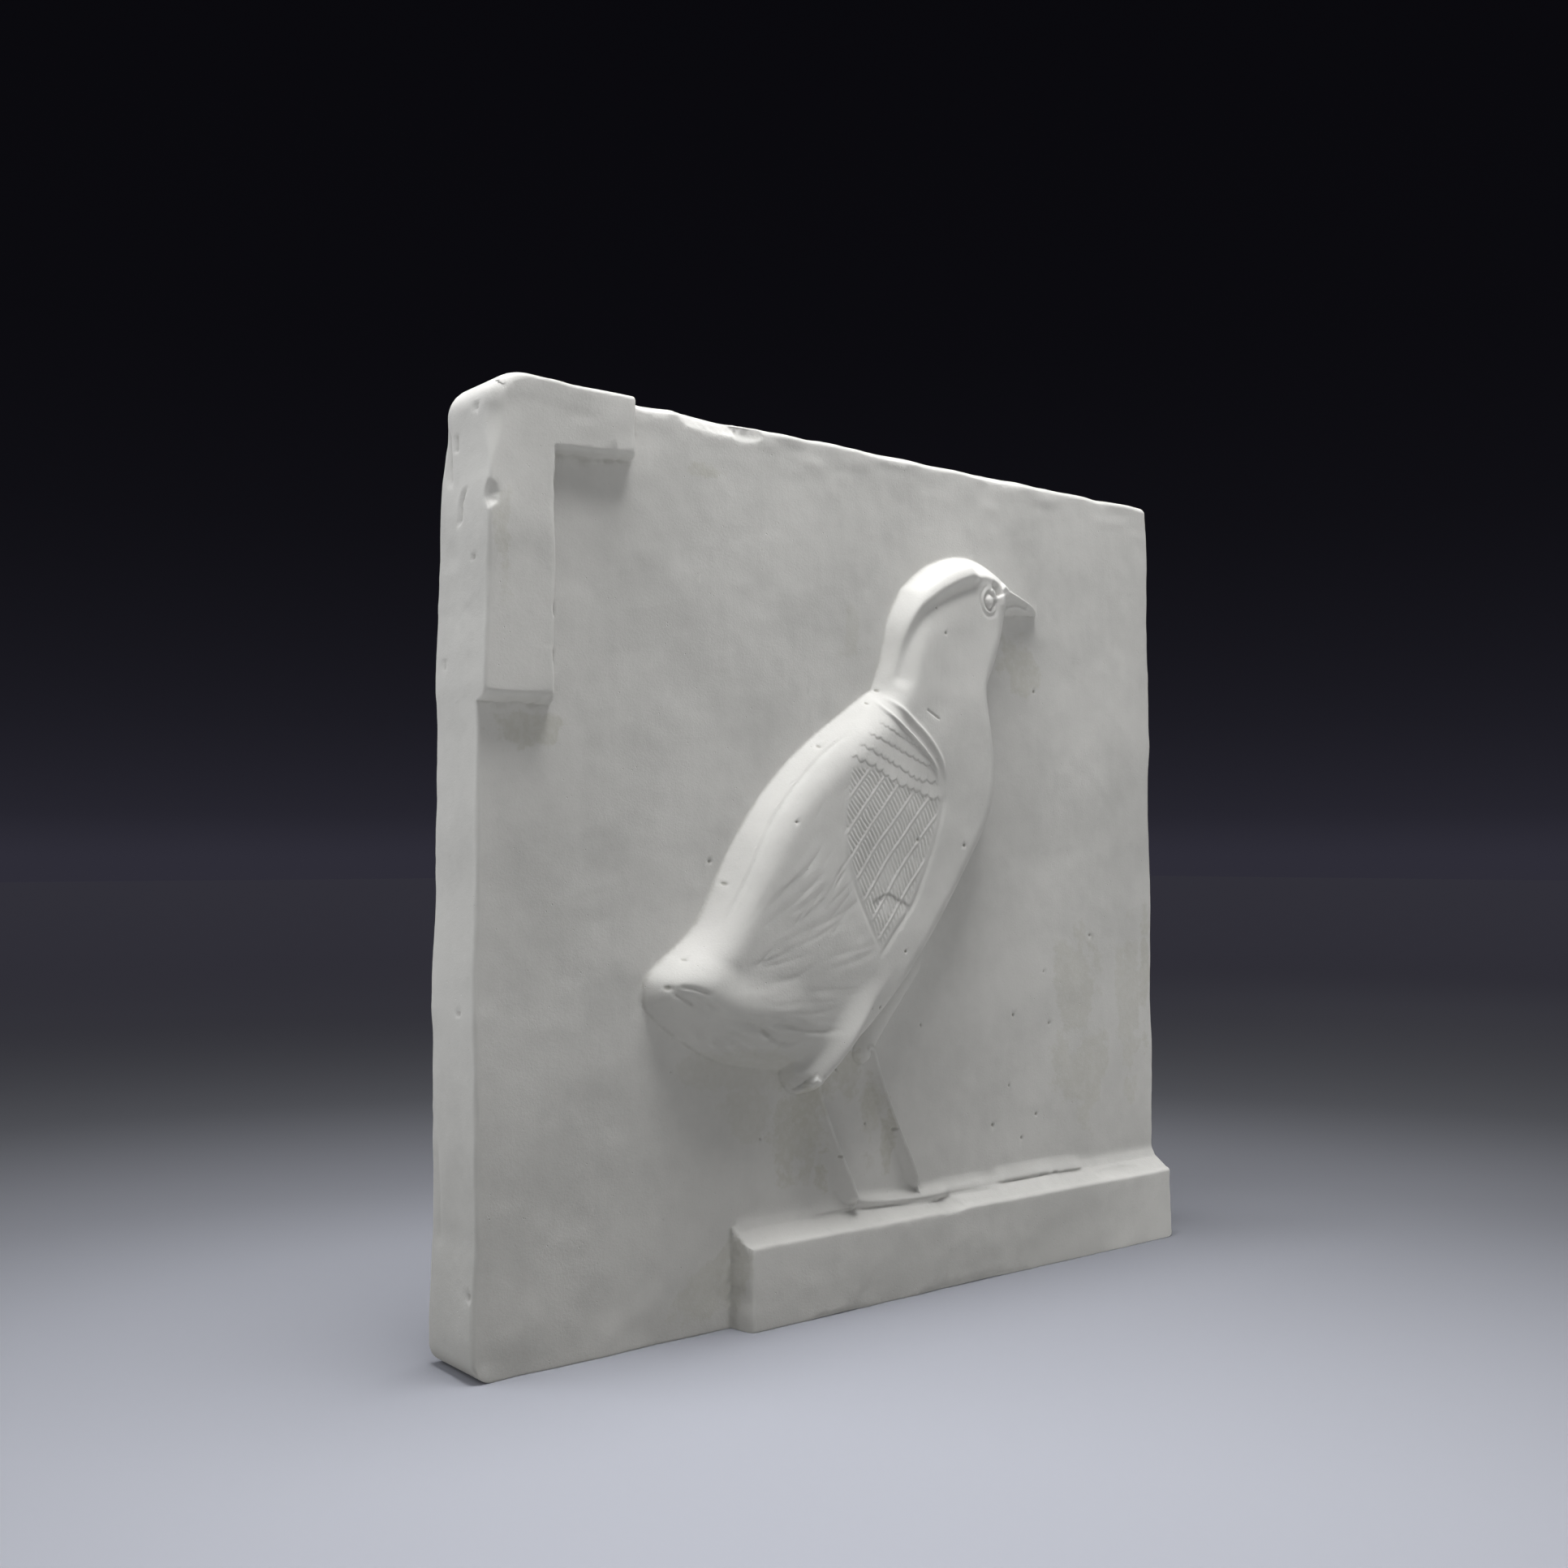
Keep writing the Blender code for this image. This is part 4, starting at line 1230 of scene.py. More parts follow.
@dataclass(frozen=True)
class PlasterFinish:
    """Matt, slightly chalky plaster with grey clouds, olive staining and dusty hollows. Painted shade darkens
    its hollows and bubble pits and lies in patches under and beside the relief.
    """

    body: tuple[float, float, float] = (0.700, 0.695, 0.680)
    cloud: tuple[float, float, float] = (0.575, 0.572, 0.560)
    # Dark tint for hollows and bubble pits: dusting, and painted shade in creases and pits.
    dust_and_shade: tuple[float, float, float] = (0.385, 0.378, 0.350)
    rubbed: tuple[float, float, float] = (0.800, 0.797, 0.785)
    # Olive tint of the staining; the painted shade patches use it too.
    stain_and_shade: tuple[float, float, float] = (0.470, 0.460, 0.380)
    roughness: tuple[float, float] = (0.72, 0.90)
    grain: float = 0.00005
    bump: float = 0.80
    specular: float = 0.32
    cloud_scale: float = 26.0
    cloud_amount: float = 0.75
    speck_scale: float = 1500.0
    speck_amount: float = 0.22
    stain_and_shade_amount: float = 0.72
    stain_and_shade_depth: float = 0.012
    raggedness: float = 3.2
    # Strength of the darkening in hollows: dusting and painted shade.
    dust_and_shade_amount: float = 0.55
    rub_amount: float = 0.60
    tooth_scale: float = 2100.0
    tooth_amount: float = 1.0
    hole_scale: float = 900.0
    hole_amount: float = 2.2
    # Painted shade: under_beak, under_band, under_belly, ledge_end. Olive staining deepened by painted shade
    # on shaded flanks and between the legs: beside_leg, the four shank patches, between_legs, behind_leg,
    # far_leg. The rest are staining.
    stain_and_shade_patches: tuple[StainAndShadePatch, ...] = (
        StainAndShadePatch("under_beak", (0.1400, 0.1385), (0.0085, 0.0100), 0.42),
        StainAndShadePatch("upper_left", (0.0500, 0.1690), (0.0075, 0.0024), 0.42),
        StainAndShadePatch("right_high", (0.1600, 0.0660), (0.0110, 0.0150), 0.36),
        StainAndShadePatch("right_low", (0.1610, 0.0420), (0.0130, 0.0130), 0.36),
        StainAndShadePatch("right_side", (0.1780, 0.0560), (0.0060, 0.0250), 0.34),
        StainAndShadePatch("beside_leg", (0.0755, 0.0360), (0.0100, 0.0150), 0.50),
        StainAndShadePatch("near_shank_high", (0.0748, 0.0425), (0.0032, 0.0090), 0.62),
        StainAndShadePatch("near_shank_low", (0.0797, 0.0300), (0.0032, 0.0090), 0.62),
        StainAndShadePatch("far_shank_high", (0.0932, 0.0420), (0.0024, 0.0080), 0.58),
        StainAndShadePatch("far_shank_low", (0.0980, 0.0310), (0.0024, 0.0090), 0.58),
        StainAndShadePatch("between_legs", (0.0875, 0.0480), (0.0050, 0.0080), 0.46),
        StainAndShadePatch("behind_leg", (0.0600, 0.0420), (0.0080, 0.0060), 0.30),
        StainAndShadePatch("far_leg", (0.0935, 0.0400), (0.0035, 0.0130), 0.40),
        StainAndShadePatch("under_belly", (0.0620, 0.0500), (0.0180, 0.0050), 0.26),
        StainAndShadePatch("under_band", (0.0100, 0.1165), (0.0080, 0.0034), 0.50),
        StainAndShadePatch("low_left", (0.0475, 0.0080), (0.0085, 0.0065), 0.34),
        StainAndShadePatch("ledge_end", (0.0560, 0.0110), (0.0030, 0.0100), 0.40),
        StainAndShadePatch("wing_spot", (0.1079, 0.1078), (0.0012, 0.0008), 1.30),
        StainAndShadePatch("left_arris", (0.0030, 0.1480), (0.0024, 0.0130), 0.36),
        StainAndShadePatch("right_arris", (0.1845, 0.0640), (0.0022, 0.0240), 0.46),
        StainAndShadePatch("nape", (0.0880, 0.1420), (0.0030, 0.0080), 0.24))


def new_group(name: str, inputs: dict[str, str], outputs: dict[str, str]) -> bpy.types.ShaderNodeTree:
    """Starts a shader node group.

    Args:
        name: The group's name.
        inputs: Its input sockets, name to kind.
        outputs: Its output sockets, name to kind.

    Returns:
        The group, with its input and output nodes.
    """
    tree = bpy.data.node_groups.new(name, "ShaderNodeTree")
    for label, kind in inputs.items():
        tree.interface.new_socket(name=label, in_out="INPUT", socket_type="NodeSocket" + kind)
    for label, kind in outputs.items():
        tree.interface.new_socket(name=label, in_out="OUTPUT", socket_type="NodeSocket" + kind)
    tree.nodes.new("NodeGroupInput").location = (-900, 0)
    tree.nodes.new("NodeGroupOutput").location = (900, 0)
    return tree


@dataclass
class Nodes:
    """A short hand for adding nodes to one tree."""

    tree: bpy.types.NodeTree

    @property
    def given(self) -> bpy.types.Node:
        """The group's input node."""
        return next(node for node in self.tree.nodes if node.bl_idname == "NodeGroupInput")

    @property
    def result(self) -> bpy.types.Node:
        """The group's output node."""
        return next(node for node in self.tree.nodes if node.bl_idname == "NodeGroupOutput")

    def link(self, source: bpy.types.NodeSocket, target: bpy.types.NodeSocket) -> None:
        """Joins two sockets."""
        self.tree.links.new(source, target)

    def feed(self, target: bpy.types.NodeSocket, value: object) -> None:
        """Sets a socket or links to it.

        Args:
            target: The input socket.
            value: A socket to link, or a value to set.
        """
        if isinstance(value, bpy.types.NodeSocket):
            self.link(value, target)
        else:
            target.default_value = value

    def math(self, operation: str, *values: object) -> bpy.types.NodeSocket:
        """Adds a Math node.

        Args:
            operation: Its operation.
            values: Sockets or numbers for its inputs.

        Returns:
            Its output.
        """
        node = self.tree.nodes.new("ShaderNodeMath")
        node.operation = operation
        for socket, value in zip(node.inputs, values):
            self.feed(socket, value)
        return node.outputs[0]

    def noise(self, vector: bpy.types.NodeSocket, scale: object, detail: float, rough: float = 0.5
              ) -> bpy.types.NodeSocket:
        """Adds a Noise Texture node.

        Args:
            vector: Where it is read.
            scale: Bumps per metre.
            detail: Its finer layers.
            rough: Strength of the finer layers.

        Returns:
            Its value.
        """
        node = self.tree.nodes.new("ShaderNodeTexNoise")
        self.link(vector, node.inputs["Vector"])
        self.feed(node.inputs["Scale"], scale)
        node.inputs["Detail"].default_value = detail
        node.inputs["Roughness"].default_value = rough
        return node.outputs["Fac"]

    def spread(self, value: bpy.types.NodeSocket, low: object, high: object, to_low: object = 0.0,
               to_high: object = 1.0) -> bpy.types.NodeSocket:
        """Adds a smooth Map Range node.

        Args:
            value: What is mapped.
            low: Value that gives the first result.
            high: Value that gives the second result.
            to_low: The first result.
            to_high: The second result.

        Returns:
            Its output.
        """
        node = self.tree.nodes.new("ShaderNodeMapRange")
        node.interpolation_type = "SMOOTHSTEP"
        for label, entry in (("Value", value), ("From Min", low), ("From Max", high), ("To Min", to_low),
                             ("To Max", to_high)):
            self.feed(node.inputs[label], entry)
        return node.outputs["Result"]

    def fade(self, value: bpy.types.NodeSocket, stops: Stations, reach: float, tint: tuple[float, ...]
             ) -> bpy.types.NodeSocket:
        """Adds a Color Ramp node of one tint.

        Args:
            value: What is read along the ramp, as a share of its reach.
            stops: How far along each stop is and how bright.
            reach: What the ramp's end stands for.
            tint: Colour at brightness 1.

        Returns:
            Its colour.
        """
        node = self.tree.nodes.new("ShaderNodeValToRGB")
        self.link(value, node.inputs["Fac"])
        ramp = node.color_ramp
        ramp.interpolation = "B_SPLINE"
        for place, bright in stops[1:-1]:
            ramp.elements.new(place / reach)
        for element, (place, bright) in zip(ramp.elements, stops):
            element.position = place / reach
            element.color = (*(bright * part for part in tint), 1.0)
        return node.outputs["Color"]

    def mix(self, share: object, first: object, second: object) -> bpy.types.NodeSocket:
        """Adds a colour Mix node.

        Args:
            share: How much of the second colour there is.
            first: The first colour.
            second: The second colour.

        Returns:
            The mixed colour.
        """
        node = self.tree.nodes.new("ShaderNodeMix")
        node.data_type = "RGBA"
        self.feed(node.inputs["Factor"], share)
        colours = [socket for socket in node.inputs if socket.type == "RGBA"]
        for socket, value in zip(colours, (first, second)):
            self.feed(socket, value if isinstance(value, bpy.types.NodeSocket) else (*value, 1.0))
        return next(socket for socket in node.outputs if socket.type == "RGBA")

    def group(self, tree: bpy.types.NodeTree, values: dict[str, object]) -> bpy.types.Node:
        """Places a node group.

        Args:
            tree: The group.
            values: Values or sockets for its inputs.

        Returns:
            The placed node.
        """
        node = self.tree.nodes.new("ShaderNodeGroup")
        node.node_tree = tree
        for label, value in values.items():
            self.feed(node.inputs[label], value)
        return node

    def attribute(self, name: str) -> bpy.types.NodeSocket:
        """Adds an Attribute node.

        Args:
            name: Name of a number that each vertex holds.

        Returns:
            The number.
        """
        node = self.tree.nodes.new("ShaderNodeAttribute")
        node.attribute_name = name
        return node.outputs["Fac"]


@dataclass(frozen=True)
class PlasterGroups:
    """The node groups that the finishes are made of, built once."""

    patch: bpy.types.NodeTree
    clouding: bpy.types.NodeTree
    grain: bpy.types.NodeTree
    hollows: bpy.types.NodeTree

    @classmethod
    def build(cls) -> "PlasterGroups":
        """Builds every group."""
        return cls(cls.stain_and_shade_patch(), cls.clouded(), cls.fine_grain(), cls.worn_dusty_and_shaded())

    @staticmethod
    def stain_and_shade_patch() -> bpy.types.NodeTree:
        """A soft darker patch with a ragged edge round one place on the front, for olive staining and for
        painted shade.

        Returns:
            The group.
        """
        tree = new_group("staining and painted shade patch", {"Place": "Vector", "Middle": "Vector", "Half Size": "Vector",
                                         "Strength": "Float", "Raggedness": "Float"}, {"Mask": "Float"})
        nodes = Nodes(tree)
        given = nodes.given.outputs
        offset = tree.nodes.new("ShaderNodeVectorMath")
        offset.operation = "SUBTRACT"
        nodes.link(given["Place"], offset.inputs[0])
        nodes.link(given["Middle"], offset.inputs[1])
        share = tree.nodes.new("ShaderNodeVectorMath")
        share.operation = "DIVIDE"
        nodes.link(offset.outputs[0], share.inputs[0])
        nodes.link(given["Half Size"], share.inputs[1])
        length = tree.nodes.new("ShaderNodeVectorMath")
        length.operation = "LENGTH"
        nodes.link(share.outputs[0], length.inputs[0])
        broad = nodes.noise(given["Place"], 105.0, 6.0, 0.66)
        pushed = nodes.math("MULTIPLY", nodes.math("SUBTRACT", broad, 0.5), given["Raggedness"])
        away = nodes.math("ADD", length.outputs["Value"], pushed)
        mask = nodes.spread(away, 0.98, 0.70)
        fine = nodes.spread(nodes.noise(given["Place"], 900.0, 3.0), 0.30, 0.62, 0.55, 1.0)
        nodes.link(nodes.math("MULTIPLY", nodes.math("MULTIPLY", mask, fine), given["Strength"]),
                   nodes.result.inputs["Mask"])
        return tree

    @staticmethod
    def clouded() -> bpy.types.NodeTree:
        """Two colours mixed in broad clouds with fine specks.

        Returns:
            The group.
        """
        tree = new_group("clouded", {"Place": "Vector", "Body": "Color", "Cloud": "Color",
                                     "Cloud Scale": "Float", "Cloud Amount": "Float",
                                     "Speck Scale": "Float", "Speck Amount": "Float"},
                         {"Color": "Color", "Mask": "Float"})
        nodes = Nodes(tree)
        given = nodes.given.outputs
        broad = nodes.spread(nodes.noise(given["Place"], given["Cloud Scale"], 5.0, 0.62), 0.38, 0.66)
        broad = nodes.math("MULTIPLY", broad, given["Cloud Amount"])
        specks = nodes.spread(nodes.noise(given["Place"], given["Speck Scale"], 2.0, 0.6), 0.60, 0.78)
        specks = nodes.math("MULTIPLY", specks, given["Speck Amount"])
        mask = nodes.math("MINIMUM", nodes.math("ADD", broad, specks), 1.0)
        nodes.link(nodes.mix(mask, given["Body"], given["Cloud"]), nodes.result.inputs["Color"])
        nodes.link(mask, nodes.result.inputs["Mask"])
        return tree

    @staticmethod
    def fine_grain() -> bpy.types.NodeTree:
        """Height of a cast surface: a fine tooth, faint swells and pin holes.

        Returns:
            The group.
        """
        tree = new_group("fine grain", {"Place": "Vector", "Tooth Scale": "Float", "Tooth Amount": "Float",
                                        "Hole Scale": "Float", "Hole Amount": "Float"}, {"Height": "Float"})
        nodes = Nodes(tree)
        given = nodes.given.outputs
        tooth = nodes.math("MULTIPLY", nodes.noise(given["Place"], given["Tooth Scale"], 4.0, 0.65),
                           given["Tooth Amount"])
        swell = nodes.math("MULTIPLY", nodes.noise(given["Place"], 330.0, 2.0), 0.9)
        cells = tree.nodes.new("ShaderNodeTexVoronoi")
        nodes.link(given["Place"], cells.inputs["Vector"])
        nodes.link(given["Hole Scale"], cells.inputs["Scale"])
        rare = nodes.spread(nodes.noise(given["Place"], 260.0, 1.0), 0.60, 0.70)
        hole = nodes.math("MULTIPLY", nodes.spread(cells.outputs["Distance"], 0.16, 0.05), rare)
        hole = nodes.math("MULTIPLY", hole, given["Hole Amount"])
        height = nodes.math("SUBTRACT", nodes.math("ADD", tooth, swell), hole)
        nodes.link(height, nodes.result.inputs["Height"])
        return tree

    @staticmethod
    def worn_dusty_and_shaded() -> bpy.types.NodeTree:
        """Rubs the colour light on arrises and darkens it in hollows and bubble pits, a dusty tint that is
        also painted shade.

        Returns:
            The group.
        """
        tree = new_group("worn dusty and shaded", {"Place": "Vector", "Color": "Color", "Bend": "Float",
                                            "Pit": "Float", "Dusting And Shade": "Color", "Rubbed": "Color",
                                            "Dusting And Shade Amount": "Float", "Rub Amount": "Float"},
                         {"Color": "Color"})
        nodes = Nodes(tree)
        given = nodes.given.outputs
        patchy = nodes.spread(nodes.noise(given["Place"], 260.0, 4.0, 0.6), 0.32, 0.68, 0.35, 1.0)
        # Darkening in hollows, read from the surface's bend: dusting and painted shade in creases.
        hollow = nodes.math("MULTIPLY", nodes.spread(given["Bend"], 0.52, 0.95), patchy)
        hollow = nodes.math("MULTIPLY", hollow, given["Dusting And Shade Amount"])
        # Bubble pits darkened the same way: dusting and painted shade.
        pit = nodes.math("MULTIPLY", nodes.spread(given["Pit"], 0.10, 0.85), 0.85)
        hollow = nodes.math("MAXIMUM", hollow, pit)
        ridge = nodes.math("MULTIPLY", nodes.spread(given["Bend"], 0.46, 0.12), patchy)
        ridge = nodes.math("MULTIPLY", ridge, given["Rub Amount"])
        rubbed = nodes.mix(ridge, given["Color"], given["Rubbed"])
        nodes.link(nodes.mix(hollow, rubbed, given["Dusting And Shade"]), nodes.result.inputs["Color"])
        return tree


def shader_material(name: str) -> tuple[bpy.types.Material, Nodes, bpy.types.Node]:
    """Starts a material with a Principled shader.

    Args:
        name: The material's name.

    Returns:
        The material, its nodes and its shader.
    """
    material = bpy.data.materials.new(name)
    material.use_nodes = True
    return material, Nodes(material.node_tree), material.node_tree.nodes["Principled BSDF"]


def object_place(nodes: Nodes) -> bpy.types.NodeSocket:
    """The object's own coordinates, in metres."""
    return nodes.tree.nodes.new("ShaderNodeTexCoord").outputs["Object"]


def plaster_material(finish: PlasterFinish, groups: PlasterGroups, corner: Vector) -> bpy.types.Material:
    """The plaster of the plaque.

    Args:
        finish: Its colours and amounts.
        groups: The shared node groups.
        corner: The slab's lower left front corner in the object's frame.

    Returns:
        The material.
    """
    material, nodes, shader = shader_material("plaster_cast")
    place = object_place(nodes)
    colour = nodes.group(groups.clouding, {"Place": place, "Body": (*finish.body, 1.0),
                                           "Cloud": (*finish.cloud, 1.0),
                                           "Cloud Scale": finish.cloud_scale,
                                           "Cloud Amount": finish.cloud_amount,
                                           "Speck Scale": finish.speck_scale,
                                           "Speck Amount": finish.speck_amount})
    # Darker patches of olive staining and of painted shade under and beside the relief.
    marks = None
    for stain_and_shade in finish.stain_and_shade_patches:
        middle = (corner.x + stain_and_shade.place[0], 0.0, corner.z + stain_and_shade.place[1])
        patch = nodes.group(groups.patch, {"Place": place, "Middle": middle,
                                           "Half Size": (stain_and_shade.half[0], finish.stain_and_shade_depth, stain_and_shade.half[1]),
                                           "Strength": finish.stain_and_shade_amount * stain_and_shade.strength,
                                           "Raggedness": finish.raggedness})
        patch.label = stain_and_shade.name
        mask = patch.outputs["Mask"]
        marks = mask if marks is None else nodes.math("MAXIMUM", marks, mask)
    # The patches go into the colour: staining and painted shade.
    stained_and_shaded = nodes.mix(marks, colour.outputs["Color"], finish.stain_and_shade)
    # Arrises rubbed light, and hollows and bubble pits darkened: dusting and painted shade.
    worn = nodes.group(groups.hollows, {"Place": place, "Color": stained_and_shaded, "Bend": nodes.attribute("bend"),
                                        "Pit": nodes.attribute("pit"), "Dusting And Shade": (*finish.dust_and_shade, 1.0),
                                        "Rubbed": (*finish.rubbed, 1.0),
                                        "Dusting And Shade Amount": finish.dust_and_shade_amount,
                                        "Rub Amount": finish.rub_amount})
    nodes.link(worn.outputs["Color"], shader.inputs["Base Color"])
    rough = nodes.spread(colour.outputs["Mask"], 0.0, 1.0, *finish.roughness)
    nodes.link(rough, shader.inputs["Roughness"])
    grain = nodes.group(groups.grain, {"Place": place, "Tooth Scale": finish.tooth_scale,
                                       "Tooth Amount": finish.tooth_amount,
                                       "Hole Scale": finish.hole_scale,
                                       "Hole Amount": finish.hole_amount})
    bump = nodes.tree.nodes.new("ShaderNodeBump")
    bump.inputs["Strength"].default_value = finish.bump
    bump.inputs["Distance"].default_value = finish.grain
    nodes.link(grain.outputs["Height"], bump.inputs["Height"])
    nodes.link(bump.outputs["Normal"], shader.inputs["Normal"])
    shader.inputs["Metallic"].default_value = 0.0
    shader.inputs["Specular IOR Level"].default_value = finish.specular
    return material


@dataclass
class Plaque:
    """The whole cast: the slab with its band, ledge and bird, as one closed mesh."""

    slab: Slab = Slab()
    band: CornerBand = CornerBand()
    ledge: Ledge = Ledge()
    bird: Bird = Bird()
    wear: Wear = Wear()
    finish: PlasterFinish = PlasterFinish()
    step: float = 0.00046
    fine_step: float = 0.00029
    quick_gap: float = 1.7
    least_gap: float = 0.00009
    back_skip: int = 5
    triangles: int = 192000
    busy_columns: Stations = ((0.052, 0.079, 1.0), (0.079, 0.112, 0.78), (0.112, 0.146, 0.85))
    busy_rows: Stations = ((0.016, 0.070, 1.1), (0.070, 0.122, 0.78), (0.122, 0.164, 0.9))
    beside_walls: tuple[float, ...] = (0.0, 0.00022, 0.00045, 0.0007, 0.001, 0.0014, 0.0019, 0.0025)
    gouges: tuple[Gouge, ...] = (
        Gouge(0.84, 0.160, 0.1725, 0.0006, 0.0007, 0.08), Gouge(0.70, 0.1665, 0.1705, 0.0005, 0.0005),
        Gouge(0.54, 0.1525, 0.1600, 0.0006, 0.0008, -0.14), Gouge(0.68, 0.1440, 0.1640, 0.0020, 0.0003),
        Gouge(0.30, 0.1732, 0.1748, 0.0008, 0.0004), Gouge(0.30, 0.1458, 0.1472, 0.0005, 0.0005),
        Gouge(0.80, 0.1265, 0.1290, 0.0004, 0.0003), Gouge(0.86, 0.0200, 0.0420, 0.0010, 0.0004, 0.05),
        Gouge(0.35, 0.0640, 0.0650, 0.0005, 0.0004), Gouge(0.10, 0.0145, 0.0158, 0.0006, 0.0005))

    def front_height(self, x: Numbers, z: Numbers) -> Numbers:
        """Height of the plaster over the slab's front plane.

        Args:
            x: How far along the slab each spot is.
            z: How far up the slab each spot is.

        Returns:
            The height in metres.
        """
        ground = self.slab.face_wave * wave(x, z, 0.09, 1)
        raised = np.maximum(self.band.height(x, z), self.ledge.height(x, z))
        raised = blend_up(raised, self.bird.height(x, z), 0.0004)
        raised = raised + self.bird.legs.toes(self.bird.frame, x, z)
        wear = self.wear
        worked = ground + raised + wear.scraped(x, z) - wear.chipped(x, z)
        return worked - wear.bubble_depth * wear.pitted(x, z)

    def lines(self, length: float, breaks: tuple[float, ...], busy: Stations, loose: float) -> Numbers:
        """Places of the grid's lines along one side.

        Args:
            length: Length of the side.
            breaks: Places of walls, where the lines stand closer.
            busy: Stretches with fine carving: from, to, and a factor on the fine gap.

        Returns:
            The places, in order.
        """
        lines = list(np.linspace(0.0, length, round(length / (self.step * loose)) + 1))
        lines = [place for place in lines if not busy[0][0] < place < busy[-1][1]]
        for start, end, factor in busy:
            lines += list(np.arange(start, end, self.fine_step * factor * loose))
        for place in (0.0, length) + breaks:
            for off in self.beside_walls:
                lines += [place - off, place + off]
        lines = np.unique(np.round([spot for spot in lines if 0.0 <= spot <= length], 6))
        wide = np.concatenate([[True], np.diff(lines) > self.least_gap])
        wide[-1] = True
        return lines[wide]

    def grid(self) -> tuple[Numbers, Numbers, list[Numbers]]:
        """The gridded box that is bent into the plaque.

        Returns:
            Each vertex's x, z and share of the depth, the four sided faces, and the faces with more sides.
        """
        loose = 1.0
        band, ledge, slab = self.band, self.ledge, self.slab
        columns = self.lines(slab.width, (band.leg_width, band.arm_length, ledge.from_left),
                             self.busy_columns, loose)
        rows = self.lines(slab.height, (slab.height - band.leg_length, slab.height - band.arm_height - 0.001,
                                        ledge.top, ledge.top - ledge.top_fall),
                          self.busy_rows, loose)
        shares = np.concatenate([[0.0, 0.012, 0.026, 0.042, 0.060, 0.085], np.linspace(0.12, 0.88, 22),
                                 [0.915, 0.94, 0.958, 0.974, 0.988, 1.0]])
        wide, tall = len(columns), len(rows)
        front = np.arange(wide * tall).reshape(wide, tall)
        ring = np.concatenate([front[:, 0], front[-1, 1:], front[-2::-1, -1], front[0, -2:0:-1]])
        ring_spots = np.column_stack([columns[ring // tall], rows[ring % tall]])
        spots = [np.column_stack([np.repeat(columns, tall), np.tile(rows, wide), np.zeros(wide * tall)])]
        around = len(ring)
        layers = [ring]
        for count, share in enumerate(shares[1:]):
            layers.append(wide * tall + count * around + np.arange(around))
            spots.append(np.column_stack([ring_spots, np.full(around, share)]))
        corners = [front[:-1, :-1], front[1:, :-1], front[1:, 1:], front[:-1, 1:]]
        quads = [np.stack(corners, -1).reshape(-1, 4)]
        for upper, lower in zip(layers, layers[1:]):
            quads.append(np.stack([upper, lower, np.roll(lower, -1), np.roll(upper, -1)], -1))
        first = wide * tall + (len(shares) - 1) * around
        faces, back_spots = self.back_faces(columns, rows, layers[-1], first)
        spots.append(back_spots)
        return np.vstack(spots), np.concatenate(quads), faces

    def back_faces(self, columns: Numbers, rows: Numbers, ring: Numbers, first: int
                   ) -> tuple[list[Numbers], Numbers]:
        """A coarser grid over the back, joined to the last ring.

        Args:
            columns: Places of the upright lines.
            rows: Places of the level lines.
            ring: Vertices round the back's edge, from the lower left corner.
            first: Number that the next vertex gets.

        Returns:
            The faces, and each new vertex's x, z and share of the depth.
        """
        wide, tall = len(columns), len(rows)
        across = sorted(set(range(0, wide, self.back_skip)) | {wide - 1})
        up = sorted(set(range(0, tall, self.back_skip)) | {tall - 1})

        def on_ring(column: int, row: int) -> int:
            """Finds a place of the edge on the ring.

            Args:
                column: Its upright line.
                row: Its level line.

            Returns:
                Its number along the ring.
            """
            if row == 0:
                return column
            if column == wide - 1:
                return wide - 1 + row
            if row == tall - 1:
                return wide + tall - 2 + (wide - 1 - column)
            return 2 * (wide - 1) + tall - 1 + (tall - 1 - row)

        number = {}
        spots = []
        for column in across[1:-1]:
            for row in up[1:-1]:
                number[(column, row)] = first + len(spots)
                spots.append((columns[column], rows[row], 1.0))

        def vertex(column: int, row: int) -> int:
            """Finds the vertex at a crossing.

            Args:
                column: Its upright line.
                row: Its level line.

            Returns:
                Its number in the mesh.
            """
            if (column, row) in number:
                return number[(column, row)]
            return int(ring[on_ring(column, row) % len(ring)])

        def edge(start: tuple[int, int], end: tuple[int, int]) -> list[int]:
            """Collects the vertices between two crossings.

            Args:
                start: The first crossing's lines.
                end: The next crossing's lines.

            Returns:
                The numbers of the vertices, without the last.
            """
            run = [vertex(*start)]
            rim = [all(place[0] == side for place in (start, end)) for side in (0, wide - 1)]
            rim += [all(place[1] == side for place in (start, end)) for side in (0, tall - 1)]
            if any(rim):
                steps = max(abs(end[0] - start[0]), abs(end[1] - start[1]))
                for step in range(1, steps):
                    column = start[0] + (end[0] - start[0]) * step // steps
                    row = start[1] + (end[1] - start[1]) * step // steps
                    run.append(vertex(column, row))
            return run

        faces = []
        for left, right in zip(across, across[1:]):
            for low, high in zip(up, up[1:]):
                corners = [(left, low), (left, high), (right, high), (right, low)]
                loop = []
                for start, end in zip(corners, corners[1:] + corners[:1]):
                    loop += edge(start, end)
                faces.append(np.array(loop))
        return faces, np.array(spots)

